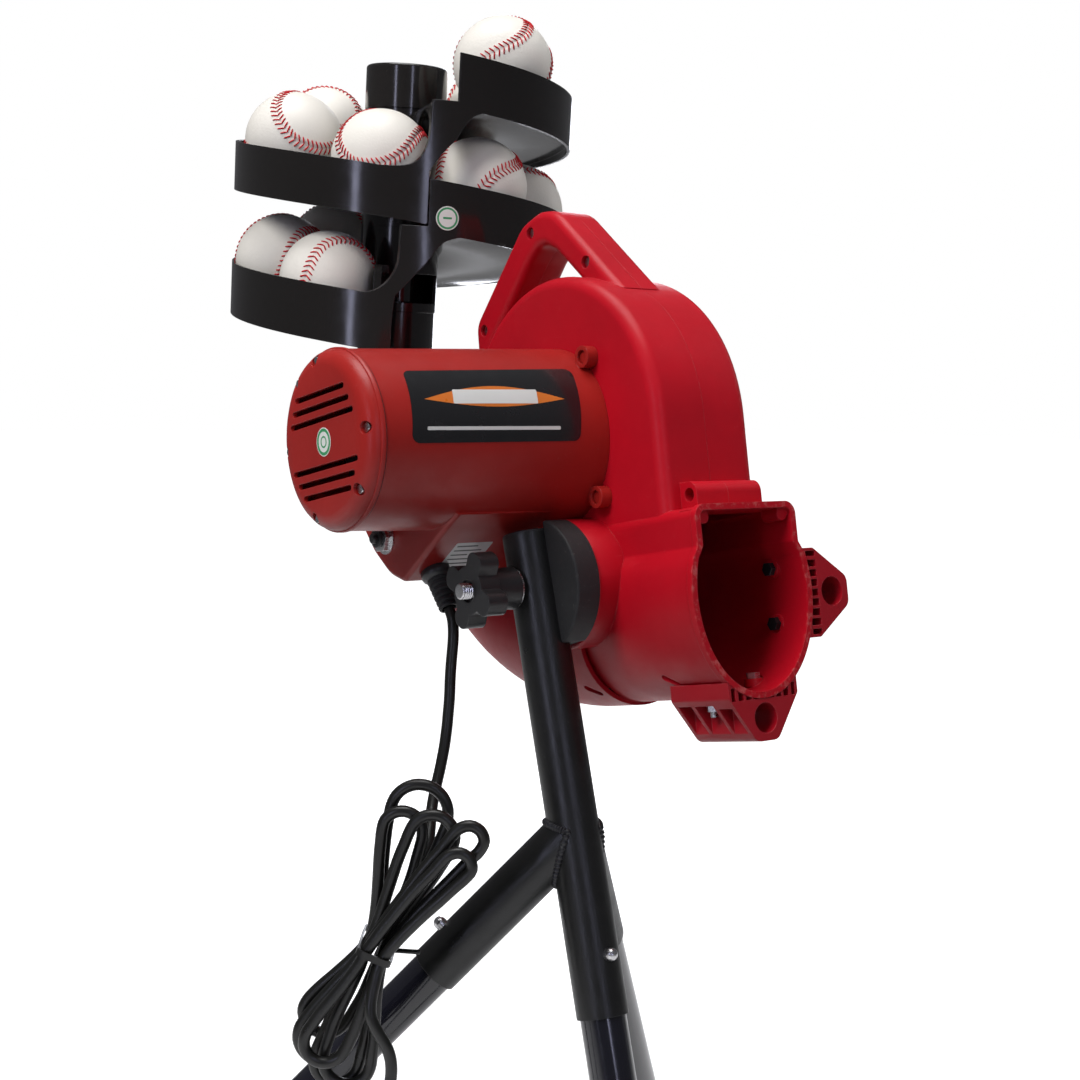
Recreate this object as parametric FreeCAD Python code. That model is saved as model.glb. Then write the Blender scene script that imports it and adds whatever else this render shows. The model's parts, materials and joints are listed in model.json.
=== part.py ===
"""Baseball pitching machine on a tripod, with a helical ball feeder.

Millimetres.  +Z is up.  The ball leaves towards -Y, the front.  The motor points to -X.
The origin is on the floor, under the middle of the whole machine's box.

Sub-parts are built in one of three frames and then put in the final frame:
  machine frame  zero at the centre of the throwing wheel, parallel to the final frame
  head frame     the same zero, but turned with the head, which rests nose-up by TILT
                 about the trunnion axis
  tower frame    Z up the axis of the feeder column, which leans forward
"""
import FreeCAD, Part
import math, os

Vec = FreeCAD.Vector
os.makedirs("parts", exist_ok=True)

# ------------------------------------------------------------ driving sizes
MACHINE_ORIGIN = Vec(80.5, -73.258, 785.0)   # machine frame zero in the final frame
TILT = 10.392                      # rest pitch of the head, degrees nose-up
PIVOT_HEAD = (-24.0, -96.0)        # trunnion axis (Y, Z) in the head frame
PIVOT_MACHINE = (-24.14, -96.53)   # the same axis in the machine frame
GAP = 0.03                         # assembly gap between fixed pieces
RUN = 0.05                         # radial running clearance
BALL_R = 36.6

# head shells
DRUM_R, DRUM_HALF, WALL = 105.2, 37.5, 3.0
MUZZLE_Y, MUZZLE_BACK = -134.35, -20.0
NECK_TOP, NECK_HALF, FLARE_Z = -59.5, 39.3, -91.0
ELLIPSE_Z, ELLIPSE_A, ELLIPSE_B = -113.0, 47.0, 62.0
PIPE_R, PIPE_Z = 47.5, -129.5
NECK_UP = 12.0                     # straight collar above the elbow
BOSS_R, BOSS_X = 41.0, -62.0       # trunnion boss and its outer face
# motor
HOUSING_X0, HOUSING_X1, CAP_X = -37.55, -197.0, -208.0
HOUSING_R0, HOUSING_R1 = 58.4, 54.5
SHAFT_R = 6.0
# stand
POST_X = -80.5
BOLT_R = 5.0
TUBE_R, TUBE_BORE = 15.875, 14.1
LEG_R, LEG_BORE = 14.0, 12.4
FLOOR = -785.0                     # floor height in the machine frame
# feeder tower
TOWER_ORIGIN = Vec(-4.73, 279.73, 0.0)       # in the machine frame
TOWER_DEG = math.degrees(math.atan(0.0733))
COLUMN_R = 30.0
BALL_PATH_R = 88.3


# ------------------------------------------------------------ solids
def box(x0, x1, y0, y1, z0, z1):
    return Part.makeBox(x1 - x0, y1 - y0, z1 - z0, Vec(x0, y0, z0))


def cyl_x(radius, x0, x1, y=0.0, z=0.0):
    return Part.makeCylinder(radius, abs(x1 - x0), Vec(min(x0, x1), y, z), Vec(1, 0, 0))


def cyl_z(radius, height, z=0.0, x=0.0, y=0.0):
    return Part.makeCylinder(radius, height, Vec(x, y, z))


def rod(radius, start, end):
    along = end - start
    return Part.makeCylinder(radius, along.Length, start, along)


def hexagon(radius, base, axis, height):
    """Six-sided prism of the given circumradius, from base along a unit axis."""
    side = axis.cross(Vec(0, 0, 1))
    if side.Length < 0.1:
        side = axis.cross(Vec(0, 1, 0))
    side.normalize()
    other = axis.cross(side)
    points = []
    for i in range(7):
        t = 2 * math.pi * i / 6
        points.append(base + side * (radius * math.cos(t)) + other * (radius * math.sin(t)))
    return Part.Face(Part.makePolygon(points)).extrude(axis * height)


def rounded_edges(corners, close=True):
    """Edges through corners [(point, radius)], each corner rounded by an arc."""
    count = len(corners)
    rounds = []                    # arc start, arc end, arc middle
    for i, (corner, radius) in enumerate(corners):
        if (not close) and i in (0, count - 1):
            rounds.append((corner, corner, None))
            continue
        back = corners[(i - 1) % count][0] - corner
        ahead = corners[(i + 1) % count][0] - corner
        back.normalize()
        ahead.normalize()
        if radius <= 0 or abs(back.dot(ahead)) > 0.99999:
            rounds.append((corner, corner, None))
            continue
        angle = math.acos(max(-1, min(1, back.dot(ahead))))
        trim = radius / math.tan(angle / 2)
        bisector = back + ahead
        bisector.normalize()
        centre = corner + bisector * (radius / math.sin(angle / 2))
        rounds.append((corner + back * trim, corner + ahead * trim, centre - bisector * radius))
    edges = []
    for i, (start, end, middle) in enumerate(rounds):
        if middle is not None:
            edges.append(Part.Arc(start, middle, end).toShape())
        if i < count - 1 or close:
            following = rounds[(i + 1) % count][0]
            if (following - end).Length > 1e-6:
                edges.append(Part.makeLine(end, following))
    return edges


def rounded_face(corners):
    return Part.Face(Part.Wire(rounded_edges(corners)))


def prism_x(outline, x0, x1):
    """Outline of (y, z, corner radius) swept from x0 to x1."""
    return rounded_face([(Vec(x0, y, z), r) for y, z, r in outline]).extrude(Vec(x1 - x0, 0, 0))


def prism_y(outline, y0, y1):
    """Outline of (x, z, corner radius) swept from y0 to y1."""
    return rounded_face([(Vec(x, y0, z), r) for x, z, r in outline]).extrude(Vec(0, y1 - y0, 0))


def polygon_face(points):
    return Part.Face(Part.makePolygon(points + points[:1]))


def revolve_x(profile):
    """Closed profile of (x, radius) turned about the X axis."""
    face = polygon_face([Vec(x, 0, r) for x, r in profile])
    return face.revolve(Vec(0, 0, 0), Vec(1, 0, 0), 360)


def revolve_z(profile):
    """Closed profile of (radius, z) turned about the Z axis."""
    face = polygon_face([Vec(r, 0, z) for r, z in profile])
    return face.revolve(Vec(0, 0, 0), Vec(0, 0, 1), 360)


def fuse(first, *others):
    joined = first.multiFuse(list(others))
    clean = joined.removeSplitter()
    if clean.isValid():
        return clean
    if not joined.isValid():
        joined = first
        for shape in others:
            joined = joined.fuse(shape)
    return joined


def group(*shapes):
    return Part.makeCompound([solid for shape in shapes for solid in shape.Solids])


# ------------------------------------------------------------ fillets
def fillet(shape, radius, pick):
    # Guards against a fillet the kernel refuses: the shape then keeps its sharp edges.
    try:
        rounded = shape.makeFillet(radius, [e for e in shape.Edges if pick(e)])
        if rounded.isValid() and rounded.Volume > 0:
            return rounded
    except Exception:
        pass
    return shape


def flat_in_x(edge):
    return edge.BoundBox.XLength < 0.01


def flat_at(axis, value):
    """Picks edges lying in the plane axis = value."""
    def pick(edge):
        bounds = edge.BoundBox
        return (abs(getattr(bounds, axis + "Min") - value) < 0.01
                and getattr(bounds, axis + "Length") < 0.01)
    return pick


def long_in(axis, length):
    """Picks edges of the given extent along axis."""
    return lambda edge: abs(getattr(edge.BoundBox, axis + "Length") - length) < 0.1


# ------------------------------------------------------------ frames and files
def from_head(shape):
    placed = shape.copy()
    placed.rotate(Vec(0, *PIVOT_HEAD), Vec(1, 0, 0), -TILT)
    move = Vec(0, PIVOT_MACHINE[0] - PIVOT_HEAD[0], PIVOT_MACHINE[1] - PIVOT_HEAD[1])
    placed.translate(move + MACHINE_ORIGIN)
    return placed


def from_machine(shape):
    placed = shape.copy()
    placed.translate(MACHINE_ORIGIN)
    return placed


def from_tower(shape):
    placed = shape.copy()
    placed.rotate(Vec(0, 0, 0), Vec(1, 0, 0), TOWER_DEG)
    placed.translate(TOWER_ORIGIN + MACHINE_ORIGIN)
    return placed


def head_to_machine(point):
    cosine, sine = math.cos(math.radians(TILT)), math.sin(math.radians(TILT))
    y, z = point.y - PIVOT_HEAD[0], point.z - PIVOT_HEAD[1]
    return Vec(point.x, cosine * y + sine * z + PIVOT_MACHINE[0],
               -sine * y + cosine * z + PIVOT_MACHINE[1])


def export(name, shape):
    """Write every solid of the shape."""
    solids = shape.Solids
    piece = solids[0] if len(solids) == 1 else Part.makeCompound(solids)
    piece.exportStep("parts/%s.step" % name)


def export_largest(name, shape):
    """Write only the largest solid of the shape."""
    export(name, max(shape.Solids, key=lambda solid: solid.Volume))


# ================================================================== HEAD SHELLS
# Side outlines in the head frame: (y, z, corner radius).
HANDLE_OUTER = [(96, 36, 0), (111.5, 66, 26), (110.5, 99, 16), (44.5, 154.5, 26),
                (24, 158.8, 18), (6, 155.6, 30), (-58, 88.2, 0)]
HANDLE_INNER = [(-31, 88, 0), (8.0, 128.3, 16), (23, 138, 14), (40, 127.2, 20),
                (96.5, 76.4, 18), (88, 46, 0)]
HOLLOW_OUTER = [(99, 48, 0), (108.2, 67, 24), (107.4, 97.6, 10), (43.2, 151.4, 18),
                (24, 155.3, 10), (9.2, 152.2, 20), (-44, 98, 0)]
HOLLOW_INNER = [(-34.5, 92.8, 0), (6.2, 131.0, 14), (23, 141.4, 12), (41.6, 129.8, 20),
                (99.6, 77.4, 14), (92.6, 53, 0)]
HANDLE_SCREWS = [(98.6, 92.6), (33.0, 146.2), (-24.5, 112.6)]      # (y, z)
LUG_SCREW = (-113.2, -51.0)                                        # (y, z)
SLOT_Y = (-9.0, -85.0)             # slots low on the motor side

# Ball rail bolts: (y, bottom of the hole in the shell, bottom of the bolt)
RAIL_BOLTS = [(-62.0, -182.0, -185.5), (6.0, -176.5, -176.4)]
RAIL_HOLE_R = 2.55

# Accessory brackets, one under the muzzle and one on its +X side
BRACKET_Y = -107.5                 # Y of the bolts
BRACKET_PITCH = 17.0               # bolt distance each side of the socket axis
SOCKET_BOTTOM = Vec(0, 0, -187.5)
SOCKET_SIDE = Vec(65.0, 0, -115.5)
# Each bolt: (seat of its head, direction, distance to the nut, thickness of its seat)
BRACKET_BOLTS = [(Vec(side * BRACKET_PITCH, BRACKET_Y, -164.6), Vec(0, 0, -1), 12.95, 4.9)
                 for side in (-1, 1)]
BRACKET_BOLTS += [(Vec(40.6, BRACKET_Y, SOCKET_SIDE.z + side * BRACKET_PITCH),
                   Vec(1, 0, 0), 14.45, 3.9) for side in (-1, 1)]
BRACKET_HOLE_R = 2.55


def muzzle_body(inset, y0, y1):
    """The muzzle section, moved inwards by inset, swept along Y."""
    half_width, half_height = ELLIPSE_A - inset, ELLIPSE_B - inset
    neck, top = NECK_HALF - inset, NECK_TOP - inset
    start = math.asin((FLARE_Z - ELLIPSE_Z) / half_height)
    points = []
    for i in range(37):
        t = start - (math.pi + 2 * start) * i / 36
        points.append(Vec(half_width * math.cos(t), y0, ELLIPSE_Z + half_height * math.sin(t)))
    belly = Part.BSplineCurve()
    belly.interpolate(points)
    corner = max(7.0 - inset, 2.0)
    upper = [(points[-1], 0), (Vec(-neck, y0, -83.5), 3.0), (Vec(-neck, y0, top), corner),
             (Vec(neck, y0, top), corner), (Vec(neck, y0, -83.5), 3.0), (points[0], 0)]
    wire = Part.Wire(rounded_edges(upper, close=False) + [belly.toShape()])
    return Part.Face(wire).extrude(Vec(0, y1 - y0, 0))


def ball_pipe(radius, neck=0.0):
    """Pipe of the balls: level, up the ramp, then up the neck by a further length."""
    start = Vec(0, -20.0, PIPE_Z)
    top = Vec(0, 180, 19) + Vec(0, -0.252, 0.968) * neck
    line = Part.Wire(rounded_edges([(start, 0), (Vec(0, 66.0, PIPE_Z), 150.0),
                                    (Vec(0, 188.8, -14.9), 50.0), (top, 0)], close=False))
    section = Part.Wire(Part.makeCircle(radius, start, Vec(0, 1, 0)))
    return line.makePipeShell([section], True, False)


def drum_prism(radius, half, z_low=-98.0):
    """Drum round the wheel: straight down in front, arched on top, cut in low behind."""
    def rim(degrees):
        a = math.radians(degrees)
        return Vec(-half, radius * math.cos(a), radius * math.sin(a))

    front_low, front = Vec(-half, -radius, z_low), Vec(-half, -radius, 0)
    top, back, back_low = Vec(-half, 0, radius), Vec(-half, radius, 0), rim(-45)
    back_foot = Vec(-half, back_low.y, z_low)
    edges = [Part.makeLine(front_low, front), Part.Arc(front, rim(135), top).toShape(),
             Part.Arc(top, rim(45), back).toShape(),
             Part.Arc(back, rim(-22.5), back_low).toShape(),
             Part.makeLine(back_low, back_foot), Part.makeLine(back_foot, front_low)]
    return Part.Face(Part.Wire(edges)).extrude(Vec(2 * half, 0, 0))


def head_outside():
    drum = drum_prism(DRUM_R, DRUM_HALF)
    drum = fillet(drum, 8.5, lambda e: flat_in_x(e) and e.BoundBox.ZMax > -5)
    muzzle = muzzle_body(0.0, MUZZLE_Y, MUZZLE_BACK)
    pipe = ball_pipe(PIPE_R, NECK_UP)
    handle = fillet(prism_x(HANDLE_OUTER + HANDLE_INNER, -18.0, 18.0), 6.0, flat_in_x)
    boss = fillet(cyl_x(BOSS_R, -20.0, BOSS_X, *PIVOT_HEAD), 1.5, flat_at("X", BOSS_X))
    # tubular screw lug across the front of the drum, above the muzzle
    lug = fuse(cyl_x(7.6, -25.0, 27.0, -112.6, -50.5),
               box(-25, 27, -112.6, -100, -58.1, -42.9), box(-25, 27, -120.2, -100, -62, -50.5))
    rim = muzzle_body(-0.9, MUZZLE_Y, MUZZLE_Y + 5.0)
    return fuse(drum, muzzle, pipe, handle, boss, lug, rim)


def muzzle_stops():
    """Two rounded stops inside the top corners of the muzzle."""
    y = MUZZLE_Y + 3
    stops = []
    for side in (-1, 1):
        x0, x1 = sorted((side * 28, side * 37.5))
        stops.append(fuse(Part.makeCylinder(4.0, 14, Vec(side * 31.5, y, -66.2), Vec(0, 1, 0)),
                          box(x0, x1, y, MUZZLE_Y + 17, -67, -61)))
    return group(*stops)


def shell_cuts():
    cuts = []
    # counterbores and pilot holes, from the motor side
    for y, z in HANDLE_SCREWS:
        cuts += [cyl_x(4.1, -18.5, -13.5, y, z), cyl_x(1.65, -14, 12, y, z)]
    cuts += [cyl_x(4.2, -26, -16, *LUG_SCREW), cyl_x(2.1, -17, 20, *LUG_SCREW)]
    for y in SLOT_Y:
        slot = Part.makeBox(5.0, 14.0, 30.0, Vec(-2.5, -7.0, -15.0))
        slot = fillet(slot, 2.3, long_in("Z", 30))
        slot.rotate(Vec(0, 0, 0), Vec(0, 0, 1), 40)
        slot.rotate(Vec(0, 0, 0), Vec(0, 1, 0), 38)
        slot.translate(Vec(-30.0, y, -163.0))
        cuts.append(slot)
    # shaft hole and trunnion bolt hole
    cuts += [cyl_x(14.0, -40, -30), cyl_x(BOLT_R + GAP, BOSS_X - 1, BOSS_X + 14, *PIVOT_HEAD)]
    for seat, out, _, _ in BRACKET_BOLTS:
        cuts += [rod(BRACKET_HOLE_R, seat - out * 12, seat + out * 12),
                 rod(5.9, seat - out * 5, seat)]
    for y, low, _ in RAIL_BOLTS:
        cuts.append(cyl_z(RAIL_HOLE_R, -168.0 - low, low, 0, y))
    return Part.makeCompound(cuts)


def head_shell(outside):
    core = fuse(drum_prism(DRUM_R - WALL, DRUM_HALF - WALL, -100.0),
                muzzle_body(WALL, MUZZLE_Y - 2.0, MUZZLE_BACK),
                ball_pipe(PIPE_R - WALL, NECK_UP + 3.0),
                cyl_x(36.0, -30.0, BOSS_X + 4.0, *PIVOT_HEAD))
    # the handle's hollow leaves screw pillars standing
    hollow = prism_x(HOLLOW_OUTER + HOLLOW_INNER, -15.0, 15.0)
    for y, z in HANDLE_SCREWS:
        hollow = hollow.cut(cyl_x(5.2, -16, 16, y, z))
    shell = outside.cut(core).cut(hollow)
    shell = shell.multiFuse(muzzle_stops().Solids)
    # stiffening ring behind the trunnion face, and flat seats for the bracket bolts
    seats = [rod(5.8, seat, seat + out * thick) for seat, out, _, thick in BRACKET_BOLTS]
    seats = [seat.common(muzzle_body(1.0, MUZZLE_Y, MUZZLE_BACK)) for seat in seats]
    shell = shell.multiFuse([cyl_x(12.0, BOSS_X + 3.0, BOSS_X + 12.0, *PIVOT_HEAD)] + seats)
    return shell.cut(shell_cuts())


outside = head_outside()
shell = head_shell(outside)
# the split is at X = 0; "left" is the -X half
export_largest("shell_left", from_head(shell.common(box(-300, -0.02, -300, 400, -300, 300))))
export_largest("shell_right", from_head(shell.common(box(0.02, 300, -300, 400, -300, 300))))

# ================================================================== MOTOR HOUSING
# Side outlines of the keel and of its hollow: (y, z, corner radius).
KEEL = [(-29.0, -50.0, 0), (40.0, -85.2, 7.0), (57.0, -78.6, 30.0), (74.5, -62.5, 30.0),
        (90.0, -40.0, 40.0), (97.0, -8.0, 20.0), (78.0, 22.0, 12.0), (30.0, 30.0, 0)]
KEEL_HOLLOW = [(-20.0, -51.2, 0), (39.6, -81.8, 4.0), (55.2, -75.8, 27.0), (72.0, -60.4, 27.0),
               (87.2, -38.8, 37.0), (93.6, -9.0, 17.0), (76.0, 19.0, 9.0), (30.0, 27.0, 0)]
KEEL_X = -137.0
EARS = [(-46.8, 45.1), (-47.7, -43.8), (46.8, 45.1)]               # (y, z)
BREAKER = (57.5, -55.0)                                            # (y, z)
GLAND_AXIS = Vec(0, -0.4526, -0.8917)        # outwards, square to the keel's sloping face
GLAND = Vec(-120.0, 28.5, -79.35)
CAP_JOINT = HOUSING_X1 - GAP
CAP_SCREW_R = 48.6
CAP_SCREWS = [(-CAP_SCREW_R * math.cos(math.radians(a)), CAP_SCREW_R * math.sin(math.radians(a)))
              for a in (0, 95, 127, 180, 247, 316)]                # (y, z)
# Dished end cap: (x, radius)
CAP_PROFILE = [
    (CAP_JOINT, HOUSING_R1), (-200.0, HOUSING_R1 - 0.2), (-203.0, 53.2), (-205.6, 50.9),
    (-207.3, 47.8), (CAP_X, 44.5), (CAP_X, 0.0), (-205.2, 0.0), (-205.2, 43.8),
    (-204.3, 46.2), (-203.0, 48.6), (-201.0, 50.4), (-199.2, 51.2), (CAP_JOINT, 51.4)]
# Breathing slots of the cap: (z, length along Y)
CAP_SLOTS = [(28.0, 61.0), (20.3, 70.0), (12.7, 78.0), (-16.0, 80.0), (-24.0, 70.0),
             (-32.0, 59.0)]


def motor_housing():
    length = HOUSING_X0 - HOUSING_X1
    base = Vec(HOUSING_X0, 0, 0)
    cone = Part.makeCone(HOUSING_R0, HOUSING_R1, length, base, Vec(-1, 0, 0))
    keel_end = flat_at("X", KEEL_X)
    keel = fillet(prism_x(KEEL, KEEL_X, HOUSING_X0), 3.0, lambda e: keel_end(e)
                  and e.BoundBox.ZMax < 25 and e.BoundBox.ZMin < -30)
    ears = [cyl_x(7.0, HOUSING_X0, -45.5, y, z) for y, z in EARS]
    housing = fuse(cone, keel, *ears)
    hollow = Part.makeCone(HOUSING_R0 - WALL, HOUSING_R1 - WALL, length, base, Vec(-1, 0, 0))
    housing = housing.cut(fuse(hollow, prism_x(KEEL_HOLLOW, KEEL_X + WALL, HOUSING_X0)))
    holes = []
    for y, z in EARS:
        holes += [cyl_x(4.3, -41.0, -47.0, y, z), cyl_x(2.15, -42, HOUSING_X0 + 1, y, z)]
    holes += [cyl_x(6.05, -140, -132, *BREAKER),
              rod(6.05, GLAND - GLAND_AXIS * 6, GLAND + GLAND_AXIS * 2)]
    housing = housing.cut(Part.makeCompound(holes))
    # room for the trunnion boss
    boss_room = cyl_x(BOSS_R + 0.35, -30, BOSS_X - 0.4, *PIVOT_HEAD)
    return housing.cut(boss_room).cut(outside)


def motor_cap():
    cuts = []
    for z, length in CAP_SLOTS:
        slot = box(-210, -203, -length / 2, length / 2, z - 1.75, z + 1.75)
        cuts.append(fillet(slot, 1.7, long_in("X", 7)))
    cuts += [cyl_x(3.6, -210, -203.6, y, z) for y, z in CAP_SCREWS]
    cap = revolve_x(CAP_PROFILE).cut(Part.makeCompound(cuts))
    posts = [cyl_x(4.4, -203.6, CAP_JOINT, y, z).cut(cyl_x(1.5, -204, HOUSING_X1, y, z))
             for y, z in CAP_SCREWS]
    inside = Part.makeCone(54.0, 51.0, 8, Vec(CAP_JOINT, 0, 0), Vec(-1, 0, 0))
    cap = fuse(cap, *[post.common(inside) for post in posts])
    return cap.cut(Part.makeCompound([cyl_x(1.5, -206, -196, y, z) for y, z in CAP_SCREWS]))


export_largest("motor_housing", from_head(motor_housing()))
export_largest("motor_cap", from_head(motor_cap()))

# ================================================================== MOTOR
CAN_X0, CAN_X1 = -172.0, -58.0
BEARING_R = 13.0                   # front bearing, set in the can and the plate
SHAFT_HOLE_R = SHAFT_R + 0.02
HUB_R = 59.95                      # seat of the tyre
# Wheel hub: (x, radius)
HUB_PROFILE = [
    (-21.0, SHAFT_HOLE_R), (-21.0, 15.0), (-6.0, 17.0), (-4.5, 50.0), (-20.0, 54.0),
    (-20.0, 59.9), (20.0, 59.9), (20.0, 54.0), (4.5, 50.0), (6.0, 17.0), (14.0, 15.0),
    (14.0, SHAFT_HOLE_R)]
# Tyre with two grooves in its tread: (x, radius)
TYRE_PROFILE = [
    (-20.0, HUB_R), (-22.5, 63.0), (-24.0, 72.0), (-23.6, 84.0), (-21.0, 92.5), (-17.0, 96.6),
    (-6.0, 98.0), (-5.2, 96.2), (-3.8, 96.2), (-3.0, 98.0), (3.0, 98.0), (3.8, 96.2),
    (5.2, 96.2), (6.0, 98.0), (17.0, 96.6), (21.0, 92.5), (23.6, 84.0), (24.0, 72.0),
    (22.5, 63.0), (20.0, HUB_R)]


def motor_can():
    can = cyl_x(41.0, CAN_X0, CAN_X1).cut(cyl_x(38.5, CAN_X0 + 3, CAN_X1 - 3))
    can = fillet(can, 3.0, lambda e: abs(e.BoundBox.XMin - CAN_X0) < 0.01
                 and e.BoundBox.YLength > 80)
    can = can.cut(cyl_x(8.0, -60, -57)).cut(cyl_x(BEARING_R + RUN, -61.5, -57.5))
    return can.cut(cyl_x(8.5, -170, -166))


def motor_plate():
    """Dished plate between the can and the drum."""
    plate = cyl_x(50.0, -57.95, -37.6).cut(cyl_x(44.0, -54.95, -37.0))
    plate = plate.cut(cyl_x(BEARING_R + RUN, -59, -50))
    return plate.cut(cyl_x(16.0, -54.95, -37.0)).cut(outside)


def motor_magnets():
    ring = cyl_x(38.4, -150, -80).cut(cyl_x(32.5, -151, -79))
    return ring.cut(box(-152, -78, -60, 60, -11, 11))


def motor_bearings():
    front = cyl_x(BEARING_R, -61.4, -52.0).cut(cyl_x(SHAFT_R + RUN, -62, -51))
    rear = cyl_x(12.0, -168.9, -160.0).cut(cyl_x(SHAFT_R + RUN, -169, -159))
    return group(front, rear)


def armature():
    """Slotted core with the commutator behind it."""
    core = cyl_x(31.0, -148, -84).cut(cyl_x(SHAFT_HOLE_R, -150, -80))
    slots = []
    for i in range(12):
        slot = box(-149, -83, -1.6, 1.6, 24, 33)
        slot.rotate(Vec(0, 0, 0), Vec(1, 0, 0), 30 * i)
        slots.append(slot)
    core = core.cut(Part.makeCompound(slots))
    commutator = cyl_x(14.0, -159.0, -151).cut(cyl_x(SHAFT_HOLE_R, -160, -150))
    return group(core, commutator)


def wheel_hub():
    angles = [i * math.pi / 3 for i in range(6)]
    holes = [cyl_x(8.5, -30, 30, 33 * math.cos(a), 33 * math.sin(a)) for a in angles]
    return revolve_x(HUB_PROFILE).cut(Part.makeCompound(holes))


export_largest("motor_can", from_head(motor_can()))
export_largest("motor_plate", from_head(motor_plate()))
export("motor_magnets", from_head(motor_magnets()))
export("motor_bearings", from_head(motor_bearings()))
export("motor_shaft", from_head(cyl_x(SHAFT_R, -167.5, 21.5)))
export("armature", from_head(armature()))
export_largest("wheel_hub", from_head(wheel_hub()))
export("wheel_tyre", from_head(revolve_x(TYRE_PROFILE)))
wheel_nut = hexagon(9.5, Vec(14.05, 0, 0), Vec(1, 0, 0), 7.0)
export("wheel_nut", from_head(wheel_nut.cut(cyl_x(SHAFT_HOLE_R, 13, 22))))

# ================================================================== BALL RAIL
RAIL_TOP = -165.5
RAIL_SINK = -168.5                 # bottom of the countersinks


def ball_rail():
    """Flat rail along the bottom of the muzzle and pipe, bevelled at its front end."""
    inset = WALL + 0.06
    space = muzzle_body(inset, -90.0, MUZZLE_BACK).fuse(ball_pipe(PIPE_R - inset))
    rail = space.common(box(-19, 19, -86, 26, -180, RAIL_TOP))
    holes = [cyl_z(RAIL_HOLE_R, 16, -181, 0, y) for y, _, _ in RAIL_BOLTS]
    sinks = [Part.makeCone(RAIL_HOLE_R, 5.3, 3.0, Vec(0, y, RAIL_SINK)) for y, _, _ in RAIL_BOLTS]
    rail = rail.cut(Part.makeCompound(holes + sinks))
    bevel = polygon_face([Vec(-30, -87, -171), Vec(-30, -87, -160), Vec(-30, -78, -160),
                          Vec(-30, -78, -165.45)])
    return rail.cut(bevel.extrude(Vec(60, 0, 0)))


def rail_bolts():
    """Two countersunk bolts; the front one carries a nut."""
    pieces = []
    for y, _, low in RAIL_BOLTS:
        pieces.append(fuse(cyl_z(2.5, RAIL_SINK - low, low, 0, y),
                           Part.makeCone(2.5, 5.2, 2.9, Vec(0, y, RAIL_SINK))))
    y = RAIL_BOLTS[0][0]
    nut = hexagon(4.6, Vec(0, y, -177.2), Vec(0, 0, -1), 4.0)
    pieces.append(nut.cut(cyl_z(RAIL_HOLE_R, 10, -184, 0, y)))
    return group(*pieces)


export_largest("ball_rail", from_head(ball_rail()))
export("rail_bolts", from_head(rail_bolts()))

# ================================================================== ACCESSORY BRACKETS
BRACKET_Y0, BRACKET_Y1 = -134.0, -81.0
SOCKET_R = 9.0
# Bracket section: (x, z, corner radius)
BRACKET_OUTLINE = [(-27.5, 24.0, 0), (-27.5, 13.0, 3.0), (-8.5, -13.6, 7.0),
                   (8.5, -13.6, 7.0), (27.5, 13.0, 3.0), (27.5, 24.0, 0)]
# Side pockets: (start and end behind the front edge, z of the pocket's roof)
BRACKET_POCKETS = [(3.0, 15.0, 7.5), (18.0, 35.0, 10.0), (38.0, 50.0, 10.0)]
POCKET_X = 12.4


def bracket():
    """Moulded bracket: socket along Y through zero, outwards = -Z."""
    body = prism_y(BRACKET_OUTLINE, BRACKET_Y0, BRACKET_Y1)
    socket = Part.makeCylinder(SOCKET_R, 60, Vec(0, BRACKET_Y0 - 2, 0), Vec(0, 1, 0))
    cuts = [socket]
    # ladder of small cores in the front edge, narrower at both ends
    for i in range(9):
        x = -24.0 + 6.0 * i
        half = 2.1 if abs(x) < 23 else 1.6
        cuts.append(box(x - half, x + half, BRACKET_Y0 - 1, BRACKET_Y0 + 13, 11.6, 19.4))
    # open pockets along the two sloping sides, between the ribs
    for side in (-1, 1):
        for start, end, roof in BRACKET_POCKETS:
            section = [(POCKET_X, roof), (24.6, roof), (32.0, roof - 6), (32.0, -30.0),
                       (POCKET_X, -30.0)]
            face = polygon_face([Vec(side * x, BRACKET_Y0 + start, z) for x, z in section])
            cuts.append(face.extrude(Vec(0, end - start, 0)))
    return body.cut(Part.makeCompound(cuts))


def bracket_bolts():
    pieces = []
    for seat, out, nut_at, _ in BRACKET_BOLTS:
        bolt_head = hexagon(4.5, seat - out * 3.62, out, 3.6)
        pieces.append(fuse(rod(2.5, seat - out * 1.0, seat + out * (nut_at + 7.5)), bolt_head))
        nut = hexagon(4.5, seat + out * nut_at, out, 4.0)
        pieces.append(nut.cut(rod(2.53, seat, seat + out * 40)))
    return group(*pieces)


bottom_bracket = bracket()
side_bracket = bottom_bracket.copy()
bottom_bracket.translate(SOCKET_BOTTOM)
side_bracket.rotate(Vec(0, 0, 0), Vec(0, 1, 0), -90)      # outwards becomes +X
side_bracket.translate(SOCKET_SIDE)
muzzle_room = muzzle_body(-0.95, MUZZLE_Y - 3, MUZZLE_BACK)
bracket_holes = Part.makeCompound([rod(BRACKET_HOLE_R, seat - out * 12, seat + out * 30)
                                   for seat, out, _, _ in BRACKET_BOLTS])
for name, shape in (("bracket_bottom", bottom_bracket), ("bracket_side", side_bracket)):
    export_largest(name, from_head(shape.cut(muzzle_room).cut(bracket_holes)))
export("bracket_bolts", from_head(bracket_bolts()))

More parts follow.
